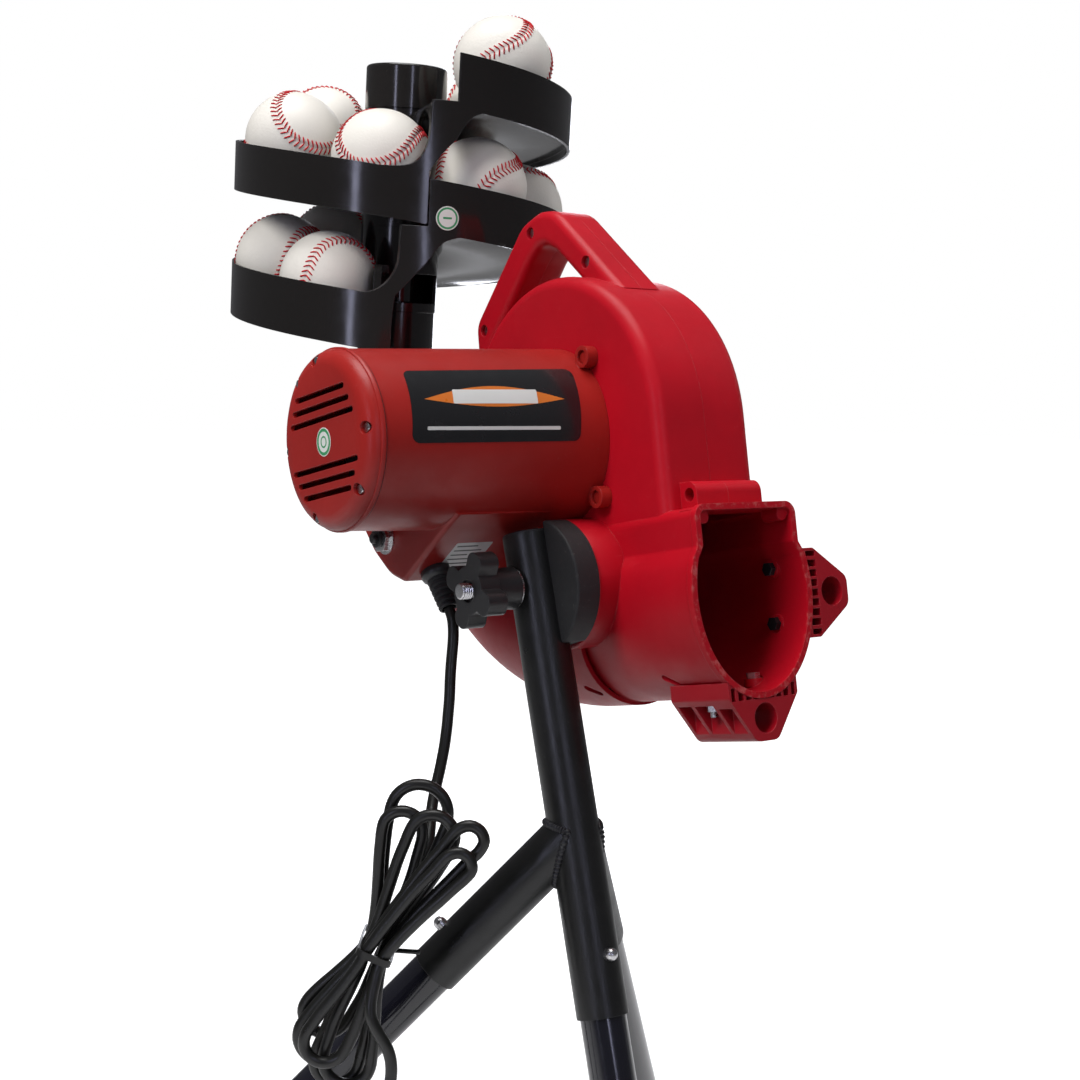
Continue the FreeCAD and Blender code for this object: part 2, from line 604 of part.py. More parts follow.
# ================================================================== SCREWS
# (name, places (y, z), shank (radius, x, x), head (radius, x, x))
SCREW_SETS = [
    ("handle_screws", HANDLE_SCREWS, (1.6, -14, 11.5), (3.5, -15.4, -13.53)),
    ("lug_screw", [LUG_SCREW], (2.05, -19, 18), (3.9, -18.6, -16.1)),
    ("housing_screws", EARS, (2.1, -43.5, -37.52), (3.9, -43.5, -41.05)),
    ("cap_screws", CAP_SCREWS, (1.45, -205, -197.5), (2.7, -205.6, -203.65)),
]
for name, places, shank, screw_head in SCREW_SETS:
    screws = [fuse(cyl_x(*shank, y, z), cyl_x(*screw_head, y, z)) for y, z in places]
    export(name, from_head(group(*screws)))

# ================================================================== BREAKER, GLAND, BOARD
BARREL_R = 6.0
GLAND_BORE = 3.6
# Gland dome nut: (distance along the gland axis, radius)
GLAND_PROFILE = [(-4.0, GLAND_BORE), (-4.0, 6.0), (0.03, 6.0), (0.03, 9.6), (3.2, 9.9),
                 (5.2, 9.2), (7.0, 7.2), (7.0, GLAND_BORE)]


def breaker_body():
    y, z = BREAKER
    body = fuse(cyl_x(BARREL_R, -144.5, -133.0, y, z),
                box(-133.0, -112.0, y - 8, y + 8, z - 7.5, z + 9))
    return body.cut(cyl_x(3.55, -146, -136.0, y, z))


def breaker_nut():
    """Hexagon nut and its washer."""
    nut = hexagon(9.4, Vec(-137.95, *BREAKER), Vec(-1, 0, 0), 4.0)
    nut = nut.cut(cyl_x(BARREL_R + GAP, -145, -133, *BREAKER))
    washer = cyl_x(10.6, -137.03, -137.9, *BREAKER).cut(cyl_x(6.05, -139, -136, *BREAKER))
    return group(nut, washer)


def turned_on_gland(profile):
    """Profile of (distance, radius) turned about the gland axis."""
    shape = revolve_z([(r, distance) for distance, r in profile])
    axis = Vec(GLAND_AXIS)
    axis.normalize()
    angle = math.degrees(math.acos(axis.z))
    shape.rotate(Vec(0, 0, 0), Vec(0, 0, 1).cross(axis), angle)
    shape.translate(GLAND)
    return shape


def cord_boot():
    """Ribbed, tapering strain-relief sleeve."""
    profile = [(7.03, 3.4), (7.03, 7.4)]
    for i in range(5):
        t = 8.4 + 3.9 * i
        r = 7.4 - 0.24 * i
        profile += [(t, r), (t + 0.5, r - 0.85), (t + 1.6, r - 0.85), (t + 2.1, r - 0.1)]
        if i < 4:
            profile += [(t + 3.6, r - 0.18)]
    profile += [(27.4, 6.2), (28.0, 5.8), (28.0, 4.6), (20.5, 4.6), (20.5, 3.4)]
    return turned_on_gland(profile)


export("breaker_body", from_head(breaker_body()))
export("breaker_nut", from_head(breaker_nut()))
button = fillet(cyl_x(3.5, -147.6, -139.6, *BREAKER), 1.2, flat_at("X", -147.6))
export("breaker_button", from_head(button))
export("cord_gland", from_head(turned_on_gland(GLAND_PROFILE)))
export("cord_boot", from_head(cord_boot()))
export("cord_inner", from_head(rod(2.6, GLAND - GLAND_AXIS * 12, GLAND + GLAND_AXIS * 19.5)))
# speed regulator board in the keel, with a cylinder beside it
board = box(-125.0, -72.0, 44.0, 46.0, -66.0, -30.0)
export("control_board", from_head(group(board, cyl_x(6.0, -108, -82, 54.5, -50))))

# ================================================================== CLAMP
BOLT_END = -137.0
KNOB_X = -131.0                    # outer face of the star


def trunnion_bolt():
    head_x = BOSS_X + 12.1
    bolt = fuse(cyl_x(BOLT_R, head_x, BOLT_END, *PIVOT_HEAD),
                cyl_x(9.0, head_x, BOSS_X + 16.0, *PIVOT_HEAD))
    bolt = fillet(bolt, 1.0, flat_at("X", BOLT_END))
    grooves = []
    for i in range(7):
        x = -135.8 + 1.5 * i
        grooves.append(revolve_x([(x, 5.3), (x, 5.0), (x + 0.6, 4.35), (x + 1.2, 5.0),
                                  (x + 1.2, 5.3)]))
    thread = Part.makeCompound(grooves)
    thread.translate(Vec(0, *PIVOT_HEAD))
    return bolt.cut(thread)


def star_knob():
    knob = cyl_x(15.0, KNOB_X, -117.0)
    for i in range(4):
        lobe = prism_x([(-6.5, 0, 2), (-7.6, 24.5, 6.0), (7.6, 24.5, 6.0), (6.5, 0, 2)],
                       KNOB_X, KNOB_X + 13.5)
        lobe.rotate(Vec(0, 0, 0), Vec(1, 0, 0), 20 + 90 * i)
        knob = knob.fuse(lobe)
    knob = fillet(knob.removeSplitter(), 1.8, flat_in_x)
    hub = Part.makeCone(12.2, 13.4, 19.5, Vec(-117.4, 0, 0), Vec(1, 0, 0))
    knob = knob.fuse(hub.common(cyl_x(30, -118, -99.0)))
    knob = knob.cut(cyl_x(BOLT_R + RUN, -140, -90)).cut(cyl_x(7.0, -132, -129.0))
    knob.translate(Vec(0, *PIVOT_MACHINE))
    return knob


export_largest("trunnion_bolt", from_head(trunnion_bolt()))
export_largest("star_knob", from_machine(star_knob()))

# ================================================================== STAND
POST_START = Vec(POST_X, *PIVOT_MACHINE)     # where the trunnion axis crosses the post
POST_AXIS = Vec(0.0, -0.289, -0.957)
POST_AXIS.normalize()
POST_TOP, POST_END = -32.4, 262.0            # distances down the post
FORK = POST_START + POST_AXIS * 151.7        # where the two stubs leave the post
STUB_LENGTH = 123.5
STUB_AXES = [Vec(side * 0.713, 0.612, -1.0) for side in (-1, 1)]
for stub_axis in STUB_AXES:
    stub_axis.normalize()
# name: (origin, axis, start of the lower leg, place of the snap button, button side)
# Lengths run from the origin down the axis.
SUPPORTS = {
    "front": (POST_START, POST_AXIS, 180.0, 226.0, Vec(0, -1, 0)),
    "left": (FORK, STUB_AXES[0], 48.0, 100.0, Vec(0, 0, 1)),
    "right": (FORK, STUB_AXES[1], 48.0, 100.0, Vec(0, 0, 1)),
}


def post_rod(radius, start, end):
    return rod(radius, POST_START + POST_AXIS * start, POST_START + POST_AXIS * end)


def snap_frame(name):
    """Point on the tube axis, tube axis, and the button's direction square to it."""
    origin, axis, _, distance, side = SUPPORTS[name]
    out = side - axis * side.dot(axis)
    out.normalize()
    return origin + axis * distance, axis, out


def snap_hole(name):
    point, _, out = snap_frame(name)
    return rod(4.05, point + out * 8.0, point + out * 20.0)


def post_tube():
    post = post_rod(TUBE_R, POST_TOP, POST_END)
    post = post.cut(post_rod(TUBE_BORE, POST_TOP - 1, POST_END + 1))
    return post.cut(cyl_x(BOLT_R + RUN, -120, -40, *PIVOT_MACHINE)).cut(snap_hole("front"))


def stub_tube(name, x0, x1):
    """Stub on its own side of the post, between x0 and x1."""
    axis = SUPPORTS[name][1]
    stub = rod(TUBE_R, FORK, FORK + axis * STUB_LENGTH)
    stub = stub.cut(rod(TUBE_BORE, FORK - axis * 5, FORK + axis * (STUB_LENGTH + 1)))
    stub = stub.cut(post_rod(TUBE_R + 0.02, POST_TOP - 5, POST_END + 5))
    return stub.common(box(x0, x1, -400, 600, -900, 100)).cut(snap_hole(name))


def post_plug():
    radius, low = TUBE_R - 0.3, POST_TOP - 1.6
    end = POST_START + POST_AXIS * low
    plug = post_rod(radius, low, POST_TOP - GAP)
    plug = fillet(plug, 0.9, lambda e: abs(e.Length - 2 * math.pi * radius) < 0.1
                  and (e.CenterOfMass - end).Length < 0.1)
    return fuse(plug, post_rod(TUBE_BORE - 0.05, POST_TOP - 0.5, POST_TOP + 9))


def leg_end(name):
    """Length at which the leg's axis is 12 mm above the floor."""
    origin, axis = SUPPORTS[name][:2]
    return (FLOOR + 12.0 - origin.z) / axis.z


def leg(name):
    origin, axis, start = SUPPORTS[name][:3]
    end = leg_end(name)
    tube = rod(LEG_R, origin + axis * start, origin + axis * end)
    tube = tube.cut(rod(LEG_BORE, origin + axis * (start - 1), origin + axis * (end + 1)))
    return tube.cut(snap_hole(name))


def foot(name):
    """Rubber foot, cut level with the floor."""
    origin, axis = SUPPORTS[name][:2]
    end = leg_end(name)
    low = origin + axis * (end + 40.0)
    shape = fuse(rod(18.0, origin + axis * (end - 38.0), low),
                 rod(20.5, origin + axis * (end - 6.0), low))
    shape = shape.cut(rod(LEG_R + GAP, origin + axis * (end - 60.0), origin + axis * (end + 0.02)))
    return shape.cut(box(-900, 900, -600, 900, FLOOR - 200, FLOOR))


def snap_button(name):
    point, _, out = snap_frame(name)
    dome = Part.makeSphere(4.0, point + out * 18.0)
    dome = dome.common(rod(5, point + out * 17.9, point + out * 30))
    pin = fuse(rod(4.0, point + out * 9.6, point + out * 18.0), dome)
    return pin.fuse(rod(5.4, point + out * 9.4, point + out * 10.6)).removeSplitter()


# Leaf spring section: (distance along the tube, distance towards the button)
SPRING = [(-14.0, -11.2), (16.0, -11.2), (20.5, -8.5), (22.0, -2.0), (20.5, 3.6), (16.0, 4.6),
          (16.0, 3.6), (19.8, 2.8), (21.0, -2.0), (19.8, -7.8), (16.0, -10.2), (-14.0, -10.2)]


def snap_spring(name):
    point, axis, out = snap_frame(name)
    across = axis.cross(out)
    face = polygon_face([point + axis * a + out * b - across * 4.0 for a, b in SPRING])
    return face.extrude(across * 8.0)


def saddle_pad():
    """Half-moon between the trunnion face and the post, cut off straight at the back."""
    face_x = POST_X + 1.5
    disc = cyl_x(42.0, BOSS_X - 0.2, face_x, *PIVOT_MACHINE)
    block = Part.makeBox(60, 38.2 * 2, 44.0, Vec(0, -38.2, -2.0))
    # local Y runs up the post, local Z across it towards the front
    block = block.transformGeometry(FreeCAD.Matrix(
        1, 0, 0, 0, 0, -POST_AXIS.y, POST_AXIS.z, 0, 0, -POST_AXIS.z, -POST_AXIS.y, 0,
        0, 0, 0, 1))
    block.translate(Vec(-110.0, *PIVOT_MACHINE))
    pad = fillet(disc.common(block), 1.6, flat_at("X", face_x))
    pad = pad.cut(post_rod(TUBE_R + RUN, POST_TOP - 20, 80))
    return pad.cut(cyl_x(BOLT_R + RUN, -120, -40, *PIVOT_MACHINE))


def knob_washer():
    """Washer between the knob and the post, relieved by the post's round."""
    washer = cyl_x(12.5, -98.95, -97.35, *PIVOT_MACHINE)
    washer = washer.cut(cyl_x(BOLT_R + 0.1, -100, -96, *PIVOT_MACHINE))
    return washer.cut(post_rod(TUBE_R + 0.02, POST_TOP - 20, 80))


export_largest("post_tube", from_machine(post_tube()))
export_largest("stub_left", from_machine(stub_tube("left", -600, POST_X - 0.02)))
export_largest("stub_right", from_machine(stub_tube("right", POST_X + 0.02, 600)))
export_largest("post_plug", from_machine(post_plug()))
for name in SUPPORTS:
    export_largest("leg_" + name, from_machine(leg(name)))
    export_largest("foot_" + name, from_machine(foot(name)))
    export_largest("snap_button_" + name, from_machine(snap_button(name)))
export("snap_springs", from_machine(group(*[snap_spring(name) for name in SUPPORTS])))
export_largest("saddle_pad", from_machine(saddle_pad()))
export_largest("knob_washer", from_machine(knob_washer()))

# ================================================================== FEEDER TRACK (tower frame)
# Angles run from the front (-Y) towards +X, in degrees; the track falls as they grow.
UPPER_START, UPPER_END = -14.0, 337.6
LOWER_START, LOWER_END = 338.1, 687.7
TURN_SPLIT = 337.8                 # between the upper and the lower module
FLOOR_R0, FLOOR_R1, FLOOR_THICK = 28.6, 126.4, 2.5
GUSSET_ANGLE = -21.4
UPPER_TUBE_Z, TUBE_TOP = 150.0, 237.9
LOWER_TUBE_Z, SPIGOT_Z = 86.0, 56.0
wall_ring = cyl_z(127.5, 260, 20).cut(cyl_z(125.2, 262, 19))
column_bore = cyl_z(COLUMN_R - 2.5, 400, -50)

# Front webs of the outer wall, seen along Y: runs of (x, z), each from the end of the
# one before it.  A run of one point is straight, a longer one is a smooth curve.
UPPER_WEB = [
    [(-20.0, 235.4)], [(26.5, 228.0)], [(26.5, 224.7)],
    [(12.0, 227.6), (2.1, 229.1), (-8.6, 229.1), (-18.5, 226.2), (-24.8, 219.5),
     (-30.8, 209.3)],
    [(-41.0, 198.0), (-49.3, 184.2)], [(-49.6, 149.4)], [(-70.0, 153.0)], [(-82.4, 188.6)],
    [(-68.0, 188.7), (-58.9, 191.3), (-53.5, 197.0), (-49.9, 206.8), (-48.8, 220.0),
     (-47.8, 235.4)]]
LOWER_WEB = [
    [(-30.0, 148.2)], [(13.5, 140.5)], [(13.5, 137.4)],
    [(-7.0, 141.1), (-22.2, 142.1), (-28.7, 140.8), (-35.9, 137.9), (-39.3, 135.0),
     (-44.2, 127.5)],
    [(-50.6, 119.1), (-66.6, 98.5)], [(-67.8, 83.3), (-68.1, 58.0)], [(-90.0, 63.5)],
    [(-101.5, 102.6)],
    [(-86.1, 99.8), (-77.1, 102.7), (-69.3, 111.7), (-66.2, 119.0), (-65.0, 128.0),
     (-64.3, 148.2)]]


def polar(radius, degrees, z=0.0):
    a = math.radians(degrees)
    return Vec(radius * math.sin(a), -radius * math.cos(a), z)


def smooth(t):
    t = max(0.0, min(1.0, t))
    return t * t * (3 - 2 * t)


def floor_top(a):
    """Height of the track floor: an even fall, with a low swell near each start."""
    if a < TURN_SPLIT:
        z = 229.9 - 0.2287 * a
        return z + 7.3 * smooth((a + 14) / 26.0) * (1 - smooth((a - 40) / 110.0))
    z = 139.9 - 0.2453 * (a - 366)
    return z + 3.4 * smooth((a - 338) / 14.0) * (1 - smooth((a - 380) / 120.0))


def wall_low(a):
    z = (227.4 - 0.2287 * a) if a < TURN_SPLIT else (137.4 - 0.2453 * (a - 366))
    return min(z, floor_top(a) - 2.8)


def wall_top(a):
    if a < TURN_SPLIT:
        return 268.7 - 0.2388 * (a + 14)
    return 181.2 - 0.238 * (a - 337.9)


def radial_wire(a, r0, r1, z0, z1):
    """Upright rectangle in the radial plane at angle a."""
    corners = [(r0, z0), (r0, z1), (r1, z1), (r1, z0), (r0, z0)]
    return Part.makePolygon([polar(r, a, z) for r, z in corners])


def floor_wire(a, top):
    return radial_wire(a, FLOOR_R0, FLOOR_R1, top, top - FLOOR_THICK)


def wall_wire(a, low, top):
    corners = [(118.0, low), (136.0, low), (136.0, top), (118.0, top), (118.0, low)]
    return Part.makePolygon([polar(r, a, z) for r, z in corners])


def tray(start, end):
    """Helical floor with its outer wall."""
    floors, walls = [], []
    for i in range(31):
        a = start + (end - start) * i / 30
        inside = min(max(a, start + 1e-4), end - 1e-4)
        floors.append(floor_wire(a, floor_top(inside)))
        walls.append(wall_wire(a, wall_low(inside), wall_top(inside)))
    wall = Part.makeLoft(walls, True, False).common(wall_ring)
    return Part.makeLoft(floors, True, False).fuse(wall)


def landing():
    """Nearly level floor ahead of the upper tray."""
    start, end = -22.6, UPPER_START + 0.05
    z0, z1 = 233.4, 233.1
    return Part.makeLoft([floor_wire(start + (end - start) * i / 4, z0 + (z1 - z0) * i / 4)
                          for i in range(5)], True, False)


def web(runs):
    edges = []
    start = runs[-1][-1]
    for run in runs:
        points = [Vec(x, -200, z) for x, z in [start] + run]
        if len(points) == 2:
            edges.append(Part.makeLine(*points))
        else:
            curve = Part.BSplineCurve()
            curve.interpolate(points)
            edges.append(curve.toShape())
        start = run[-1]
    return Part.Face(Part.Wire(edges)).extrude(Vec(0, 200, 0)).common(wall_ring)


def gusset(top, low, arch_z, arch_r):
    """Radial plate under the floor, arched over the ball path below."""
    plate = Part.makeBox(97.0, 2.6, top - low, Vec(28.8, -1.3, low))
    arch = Part.makeCylinder(arch_r, 10, Vec(BALL_PATH_R, -5, arch_z), Vec(0, 1, 0))
    plate = plate.cut(arch).common(cyl_z(126.3, 300).cut(cyl_z(28.8, 300)))
    plate.rotate(Vec(0, 0, 0), Vec(0, 0, 1), GUSSET_ANGLE - 90)
    return plate


def track_upper():
    tube = cyl_z(COLUMN_R, TUBE_TOP - UPPER_TUBE_Z, UPPER_TUBE_Z).cut(column_bore)
    return fuse(tray(UPPER_START, UPPER_END), landing(), tube, web(UPPER_WEB),
                gusset(232.5, 196.0, 190.0, 40.6))


def track_lower():
    tube = fuse(cyl_z(COLUMN_R, UPPER_TUBE_Z - GAP - LOWER_TUBE_Z, LOWER_TUBE_Z),
                cyl_z(COLUMN_R - 0.8, 30.1, SPIGOT_Z))
    # window in the tube for the swing of the gate arm
    band = cyl_z(40, 22.0, 93.0).cut(cyl_z(20, 30, 90))
    centre, first, last = Vec(0, 0, 0), polar(60, -50), polar(60, 46)
    sector = Part.Face(Part.Wire([Part.makeLine(centre, first),
                                  Part.Arc(first, polar(60, -2), last).toShape(),
                                  Part.makeLine(last, centre)])).extrude(Vec(0, 0, 300))
    tube = tube.cut(column_bore).cut(band.common(sector))
    return fuse(tray(LOWER_START, LOWER_END), tube, web(LOWER_WEB),
                gusset(147.0, 126.0, 97.0, 41.0))


export_largest("track_upper", from_tower(track_upper()))
export_largest("track_lower", from_tower(track_lower()))

# ================================================================== COLUMN, BASE AND GATE
NECK_X, NECK_Y, NECK_Z = 4.73, -83.7, -2.1   # top of the head's neck, in the tower frame
CAP_Z0, CAP_Z1 = 238.0, 270.5
GATE_ANGLE = -38.5
# Funnel over the neck: (radius, z)
FUNNEL_PROFILE = [
    (44.42, NECK_Z - 13.0), (44.42, NECK_Z), (50.0, NECK_Z), (50.5, NECK_Z + 8), (53.0, 26.0),
    (53.0, 36.0), (50.4, 36.0), (50.2, 27.0), (47.0, NECK_Z + 12), (41.6, NECK_Z + 1),
    (41.6, NECK_Z - 13.0)]


def column_cap():
    cap = fillet(cyl_z(31.0, CAP_Z1 - CAP_Z0, CAP_Z0), 2.2, flat_at("Z", CAP_Z1))
    cap = cap.cut(cyl_z(28.4, 29.0, 237.0))
    cap = cap.fuse(cyl_z(27.4, 12.0, 228.0).cut(cyl_z(24.8, 14.0, 227.0)))
    return cap.fuse(cyl_z(28.6, 2.0, CAP_Z0).cut(cyl_z(24.8, 4.0, 237.0))).removeSplitter()


def neck_cyl(radius, height, z):
    return cyl_z(radius, height, z, NECK_X, NECK_Y)


def feeder_base():
    """Funnel over the neck, joined by an arm to the socket of the column."""
    funnel = revolve_z(FUNNEL_PROFILE)
    funnel.translate(Vec(NECK_X, NECK_Y, 0))
    guard = neck_cyl(53.0, 16.0, 35.5).cut(neck_cyl(50.4, 20.0, 34.0))
    guard = guard.common(box(NECK_X - 10, NECK_X + 70, NECK_Y - 70, NECK_Y + 70, 30, 60))
    socket = cyl_z(33.6, 42.0, -12.0)
    socket_bore = cyl_z(COLUMN_R - 0.65, 60.0, -8.0)
    arm = fuse(box(-30, 33, -60, 0, NECK_Z + 1.0, NECK_Z + 9.0),
               box(-4, 4, -48, 0, NECK_Z - 12, NECK_Z + 20))
    funnel_room = neck_cyl(50.2, 80, NECK_Z + 12).fuse(neck_cyl(44.3, 80, NECK_Z - 30))
    neck_room = neck_cyl(52.0, 60, NECK_Z - 60 - GAP)
    base = fuse(funnel, guard, socket.cut(neck_room).cut(funnel_room),
                arm.cut(funnel_room).cut(neck_room)).cut(socket_bore)
    return base.cut(neck_cyl(41.6, 40, NECK_Z - 30))


def column_base():
    """Tube with a spigot ring at its top and a pierced floor for the gearmotor."""
    tube = cyl_z(COLUMN_R - 0.7, SPIGOT_Z - GAP + 7.9, -7.9).cut(cyl_z(26.6, 90, -20))
    tube = tube.fuse(cyl_z(27.4, 20.0, 50.0).cut(cyl_z(25.0, 30, 45.0))).removeSplitter()
    return tube.fuse(cyl_z(26.7, 3.0, 3.0).cut(cyl_z(6.0, 9.0))).removeSplitter()


def gate_arm():
    arm = fuse(cyl_z(13.0, 20.0, 93.5).cut(cyl_z(3.0, 60, 80)),
               box(6.0, 76.0, -2.8, 2.8, 97.0, 108.0).cut(cyl_z(8.0, 60, 80)))
    paddle = fillet(box(70.0, 110.0, -2.8, 2.8, 94.0, 120.0), 6.0, long_in("Y", 5.6))
    arm = arm.fuse(paddle).removeSplitter()
    arm.rotate(Vec(0, 0, 0), Vec(0, 0, 1), GATE_ANGLE - 90)
    return arm


export_largest("column_cap", from_tower(column_cap()))
export_largest("feeder_base", from_tower(feeder_base()))
export_largest("column_base", from_tower(column_base()))
gearmotor = fuse(cyl_z(18.5, 46.0, 6.05), cyl_z(20.0, 26.0, 52.0), cyl_z(7.0, 4.0, 78.0))
export("feeder_gearmotor", from_tower(gearmotor))
export_largest("gate_arm", from_tower(gate_arm()))
export("gate_shaft", from_tower(cyl_z(3.0, 36.0, 82.1)))

# ================================================================== BASEBALLS
# Angles round the column, from the last loaded ball down to the one at the gate
BALL_ANGLES = [21.5, 98.0, 146.6, 195.2, 262.0, 319.0, 367.8, 416.5, 480.0, 545.0, 606.1, 654.6]


def ball_height(a):
    """Centre height at which the ball just clears the sloping floor."""
    height = floor_top(a) + BALL_R + 0.25
    for step in range(-16, 17):
        along = BALL_PATH_R * math.radians(step)
        rise = math.sqrt(BALL_R ** 2 - along * along)
        height = max(height, floor_top(a + step) + rise + 0.12)
    return height


balls = [Part.makeSphere(BALL_R, polar(BALL_PATH_R, a, ball_height(a))) for a in BALL_ANGLES]
export("baseballs", from_tower(group(*balls)))

# ================================================================== POWER CORD (machine frame)
CORD_R = 3.5
TIE_CENTRE = Vec(-191.0, -25.5, -298.6)
BUNDLE_SIDE, BUNDLE_FACE = Vec(0.8124, -0.5831, 0), Vec(0.5831, 0.8124, 0)
BUNDLE_LEAN = math.radians(22.5)
BUNDLE_UP = Vec(0, 0, 1) * math.cos(BUNDLE_LEAN) + BUNDLE_SIDE * math.sin(BUNDLE_LEAN)
BUNDLE_ACROSS = BUNDLE_SIDE * math.cos(BUNDLE_LEAN) - Vec(0, 0, 1) * math.sin(BUNDLE_LEAN)
LAYER = 7.6                        # spacing of the layers of cord
WAIST = 5.2                        # half spacing of the strands at the tie
# Bights above and below the tie: (tip along the bundle, tip across it, width)
UPPER_LOOPS = [(96, -10, 34), (79, -16, 24), (86, 5, 26), (90, 27, 18), (75, 27, 17)]
LOWER_LOOPS = [(-66, -16, 27), (-79, -10, 30), (-85, 6, 26), (-80, 13, 28), (-70, -8, 24)]


def bundle_point(up, across, layer):
    return TIE_CENTRE + BUNDLE_UP * up + BUNDLE_ACROSS * across - BUNDLE_FACE * (LAYER * layer)


def bight(tip, tip_across, width, layer, first, layer_from):
    """Points of one bight from the tie to the tip and back.

    It leaves on the side first (+1 or -1) and climbs from layer_from to layer on the way.
    """
    sign = 1 if tip > 0 else -1
    straight = abs(tip) - width / 2.0

    def drift(length):
        return tip_across * (length / abs(tip)) ** 1.25

    def strand(side):
        points = []
        for part in (0.12, 0.3, 0.5, 0.72, 0.92):
            length = straight * part
            half = WAIST + (width / 2.0 - WAIST) * smooth(part)
            at_layer = layer
            if side == first:
                at_layer = layer_from + (layer - layer_from) * smooth(length / 26.0)
            points.append(bundle_point(sign * length, drift(length) + side * half, at_layer))
        return points

    turn = []
    for degrees in (15, 55, 90, 125, 165):
        a = math.radians(degrees)
        turn.append(bundle_point(sign * (straight + width / 2.0 * math.sin(a)),
                                 drift(straight) + first * (width / 2.0) * math.cos(a), layer))
    return strand(first) + turn + strand(-first)[::-1]


def cord_path():
    """From the gland boot down to the bundle, through it, and down the tail."""
    start = head_to_machine(GLAND + GLAND_AXIS * 28.2)
    path = [start, start + Vec(-0.1, -3.6, -5.2),
            Vec(-121.0, 6.6, -126.5), Vec(-123.6, 4.6, -144.0), Vec(-127.3, 0.4, -163.0),
            Vec(-132.0, -4.0, -184.0), Vec(-140.5, -11.0, -205.0), Vec(-153.0, -21.5, -226.0),
            bundle_point(44, 8.0, 0), bundle_point(22, 6.0, 0), bundle_point(0, WAIST, 0)]
    for i in range(5):
        path += bight(*LOWER_LOOPS[i], i + 1, +1, i)
        path.append(bundle_point(0, -WAIST, i + 1))
        path += bight(*UPPER_LOOPS[i], i + 1, -1, i + 1)
        path.append(bundle_point(0, WAIST, i + 1))
    tail = bundle_point(-14, 6.5, 5.6)
    return path + [tail, bundle_point(-30, 12.0, 6.3),
                   Vec(tail.x + 4, tail.y - 9, -350.0), Vec(tail.x + 1, tail.y - 8, -390.0),
                   Vec(tail.x - 3, tail.y - 6, -440.0), Vec(tail.x - 2, tail.y - 4, -490.0),
                   Vec(tail.x, tail.y - 4, -520.0)]


def section_parameters(curve, turn, step):
    """Parameters spaced so that no length turns or runs much more than the limits."""
    first, last = curve.FirstParameter, curve.LastParameter
    samples = 6000
    chosen = [first]
    point, direction = curve.value(first), curve.tangent(first)[0]
    run = turned = 0.0
    for i in range(1, samples + 1):
        u = first + (last - first) * i / samples
        new_point, new_direction = curve.value(u), curve.tangent(u)[0]
        run += (new_point - point).Length
        turned += math.degrees(new_direction.getAngle(direction))
        point, direction = new_point, new_direction
        if turned >= turn or run >= step or i == samples:
            chosen.append(u)
            run = turned = 0.0
    return chosen


def swept_cord(curve):
    """Round rod along a curve, as short ruled lengths between circles."""
    normal, sections = None, []
    for u in section_parameters(curve, turn=16.0, step=22.0):
        p, d = curve.value(u), curve.tangent(u)[0]
        d.normalize()
        if normal is None:
            normal = d.cross(Vec(1, 0, 0))
        n = normal - d * normal.dot(d)
        n.normalize()
        normal = n
        b = d.cross(n)
        circle = Part.makeCircle(CORD_R)
        circle.Placement = FreeCAD.Placement(FreeCAD.Matrix(
            n.x, b.x, d.x, p.x, n.y, b.y, d.y, p.y, n.z, b.z, d.z, p.z, 0, 0, 0, 1))
        sections.append(Part.Wire(circle))
    return Part.makeLoft(sections, True, True)


def cord_tie():
    """Band round the waist of the bundle, with its twisted end."""
    half = WAIST + CORD_R + 0.9
    face, back = CORD_R + 1.0, 5 * LAYER + CORD_R + 1.0

    def band(grow):
        corners = [(-half - grow, face + grow), (half + grow, face + grow),
                   (half + grow, -back - grow), (-half - grow, -back - grow)]
        section = rounded_face([(TIE_CENTRE + BUNDLE_ACROSS * across + BUNDLE_FACE * out
                                 - BUNDLE_UP * 2.0, 4.0 + grow) for across, out in corners])
        return section.extrude(BUNDLE_UP * 4.0)

    twist = rod(1.4, bundle_point(0, half + 1.0, 2.0), bundle_point(6.0, half + 15.0, 2.4))
    return band(1.1).cut(band(0.0)).fuse(twist).removeSplitter()


def cord_plug(end):
    """Plug body hanging below the cord's end, with its sleeve."""
    low = end.z - 46.0
    plug = Part.makeBox(25.0, 17.0, 30.0, Vec(end.x - 12.5, end.y - 8.5, low))
    plug = fillet(plug, 4.0, long_in("Z", 30.0))
    sleeve = Part.makeCone(6.4, 5.0, 16.5, Vec(end.x, end.y, end.z - 16.5))
    plug = fillet(plug.fuse(sleeve).removeSplitter(), 2.0, flat_at("Z", low))
    return plug.cut(cyl_z(CORD_R + RUN, 30.0, end.z - 8.0, end.x, end.y)).cut(cord)


def plug_prongs(end):
    """Two flat blades and a round pin."""
    prongs = []
    for offset in (-6.35, 6.35):
        x = end.x + offset
        prongs.append(box(x - 0.75, x + 0.75, end.y - 3.2, end.y + 3.2,
                          end.z - 63.0, end.z - 46.03))
    prongs.append(cyl_z(2.4, 19.0, end.z - 65.03, end.x, end.y + 6.0))
    return group(*prongs)


cord_points = cord_path()
cord_curve = Part.BSplineCurve()
cord_curve.interpolate(cord_points)
cord = swept_cord(cord_curve)
export("power_cord", from_machine(cord))
export_largest("cord_tie", from_machine(cord_tie()))
export_largest("cord_plug", from_machine(cord_plug(cord_points[-1])))
export("plug_prongs", from_machine(plug_prongs(cord_points[-1])))
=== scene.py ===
"""Baseball pitching machine: a nose-up head with its wheel, motor and ball track, on a stand.

Metres, +Z up. The front faces -Y and the motor runs out from the wheel along -X.
The CAD pieces get their materials; the cord, balls, labels and welds are built here.
"""
import bpy, bmesh, json, math, random
import numpy as np
from mathutils import Quaternion, Matrix, Vector


